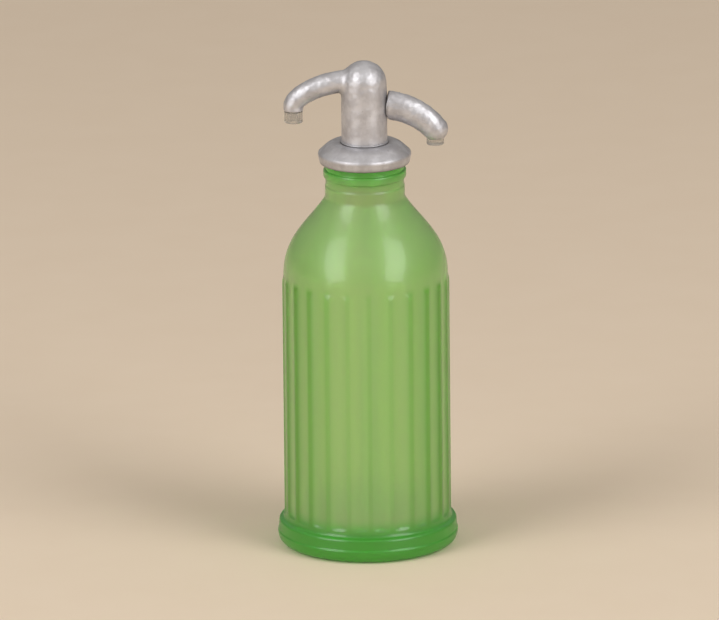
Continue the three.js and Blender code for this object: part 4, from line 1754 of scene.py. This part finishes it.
@dataclass(frozen=True)
class SoftBox:
    """A long soft light that leans, placed by the directions of the middle of its foot and of its head.

    A direction is an azimuth, counted from the camera's side and positive to the right, and an elevation.
    Angles are in degrees.
    """

    name: str
    foot: tuple[float, float]
    head: tuple[float, float]
    half_width: float
    distance: float
    radiance: float

    def build(self, target: Vector) -> None:
        """Makes the light and turns it to the target.

        Args:
            target: The place in metres that it lights.
        """
        low = compass(*self.foot) * self.distance
        high = compass(*self.head) * self.distance
        middle = (low + high) / 2
        away, along = middle.normalized(), (high - low).normalized()
        light = bpy.data.lights.new(self.name, "AREA")
        light.shape = "RECTANGLE"
        light.size = 2 * middle.length * math.tan(math.radians(self.half_width))
        light.size_y = (high - low).length
        light.energy = self.radiance * math.pi * light.size * light.size_y
        lamp = bpy.data.objects.new(self.name, light)
        lamp.location = target + middle
        lamp.rotation_euler = Matrix((along.cross(away), along, away)).transposed().to_euler()
        bpy.context.scene.collection.objects.link(lamp)


def compass(azimuth: float, elevation: float) -> Vector:
    """The direction at an azimuth from the camera's side and an elevation, in degrees."""
    turn, rise = math.radians(azimuth), math.radians(elevation)
    return Vector((math.sin(turn) * math.cos(rise), -math.cos(turn) * math.cos(rise), math.sin(rise)))


@dataclass
class Studio:
    """The pale floor, the soft lights, the pale surroundings and the camera."""

    floor_colour: str = "#f2dec6"
    floor_mottle: str = "#efdac1"
    floor_half: float = 12.0
    floor_gap: float = 0.2
    surround: str = "#f4efe8"
    fill: float = 0.34
    low: float = 0.16
    high: float = 0.75
    through: float = 0.55
    backdrop: float = 0.85
    elevation: float = 16.0
    distance: float = 9.3627
    lens: float = 786.4
    roll: float = -0.55
    aim: tuple[float, float, float] = (-3.9, 0.0, 142.5)
    lit_height: float = 170.0
    boxes: tuple[SoftBox, ...] = (
        SoftBox("left_box", (-41, 2), (-67, 52.5), 14.5, 4, 3.7),
        SoftBox("right_box", (38.5, 2), (65, 52.5), 14.5, 4, 3.7),
    )

    def floor(self) -> None:
        """A wide plain pale floor with a faint mottle."""
        mesh = bpy.data.meshes.new("floor")
        half = self.floor_half
        corners = [(-half, -half), (half, -half), (half, half), (-half, half)]
        mesh.from_pydata([(x, y, -self.floor_gap * MM) for x, y in corners], [], [(0, 1, 2, 3)])
        floor = bpy.data.objects.new("floor", mesh)
        bpy.context.scene.collection.objects.link(floor)
        material, tree, place = new_material("painted board, matt")
        # The roller's mottle is about 20 mm across and barely shows
        mottle = add_node(
            tree, "ShaderNodeTexNoise", {"Vector": place, "Scale": per_metre(40), "Detail": 2.0}
        )
        colour = add_node(
            tree, "ShaderNodeMix", {0: mottle, 6: linear(self.floor_colour), 7: linear(self.floor_mottle)},
            data_type="RGBA",
        )
        board = add_node(tree, "ShaderNodeBsdfPrincipled", {"Base Color": colour, "Roughness": 0.75})
        show(tree, board)
        mesh.materials.append(material)

    def surroundings(self) -> None:
        """Soft even fill light, paler overhead in reflections and even behind glass."""
        world = bpy.data.worlds.new("studio")
        bpy.context.scene.world = world
        world.use_nodes = True
        tree = world.node_tree
        tree.nodes.clear()
        rays = add_node(tree, "ShaderNodeLightPath")
        direction = add_node(tree, "ShaderNodeTexCoord").outputs["Generated"]
        upward = add_node(tree, "ShaderNodeSeparateXYZ", {0: direction}).outputs["Z"]
        mirrored = add_node(
            tree, "ShaderNodeMapRange",
            {"Value": upward, "From Min": 0.0, "From Max": 0.9, "To Min": self.low, "To Max": self.high},
            interpolation_type="SMOOTHSTEP",
        )
        level: float | Node = self.fill
        for ray, seen in (("Glossy", mirrored), ("Transmission", self.through), ("Camera", self.backdrop)):
            inputs = {0: rays.outputs[f"Is {ray} Ray"], 2: level, 3: seen}
            level = add_node(tree, "ShaderNodeMix", inputs, data_type="FLOAT")
        light = add_node(tree, "ShaderNodeBackground", {"Color": linear(self.surround), "Strength": level})
        add_node(tree, "ShaderNodeOutputWorld", {"Surface": light})

    def lights(self) -> None:
        """Two long soft boxes that stand to the left and right of the camera and lean over the object."""
        for box in self.boxes:
            box.build(Vector((0, 0, self.lit_height * MM)))

    def camera(self) -> None:
        """A long lens from in front and a little above, as in the photograph."""
        data = bpy.data.cameras.new("camera")
        data.lens = self.lens
        data.sensor_width = 36
        data.clip_end = 100
        camera = bpy.data.objects.new("camera", data)
        rise = math.radians(self.elevation)
        back = Vector((0, -math.cos(rise), math.sin(rise)))
        camera.location = Vector(self.aim) * MM + back * self.distance
        roll = Matrix.Rotation(math.radians(self.roll), 3, "Z")
        camera.rotation_euler = ((-back).to_track_quat("-Z", "Y").to_matrix() @ roll).to_euler()
        bpy.context.scene.collection.objects.link(camera)
        bpy.context.scene.camera = camera

    def build(self) -> None:
        """Sets up the whole studio."""
        bpy.context.scene.view_settings.view_transform = "Standard"
        self.floor()
        self.surroundings()
        self.lights()
        self.camera()


def main() -> None:
    """Builds each sub-assembly in order, dresses it, and sets up the studio."""
    logging.basicConfig(level=logging.INFO, format="%(name)s: %(message)s")
    silver = SilverCasting().material()
    clear = ClearPlastic().material()
    finishes = {
        Slot.STEEL: TurnedMetal("bright steel, drawn wire", "#b4b6b8", "#8d8f90", 0.3).material(),
        Slot.BRASS: TurnedMetal("brass, turned", "#cfa85a", "#9a7b40", 0.32).material(),
        Slot.RUBBER: MattMoulding("black rubber, moulded", "#1d1c1b", "#3a3937", 0.75).material(),
        Slot.FIBRE: MattMoulding("red vulcanised fibre, pressed", "#7a3222", "#96503a", 0.85).material(),
        Slot.TUBE: DrawnGlass().material(),
    }
    bottle = GlassBottle()
    head = HeadCasting()
    lever = LeverArm()
    tips = ClearTips()
    train = ValveTrain()
    bottle.build(PressedGlass())
    CollarNut().build(bottle, head.radius, silver)
    head.build(silver)
    lever.build(head, silver)
    tips.nozzle(head, clear)
    tips.plug(lever, clear)
    train.tube(finishes[Slot.TUBE])
    train.spring(finishes[Slot.STEEL])
    # The pin's ends lie flush in the column and are finished with it
    train.pin(head, silver)
    train.gasket(finishes[Slot.RUBBER])
    train.dress(finishes)
    Studio().build()


if __name__ == "__main__":
    main()
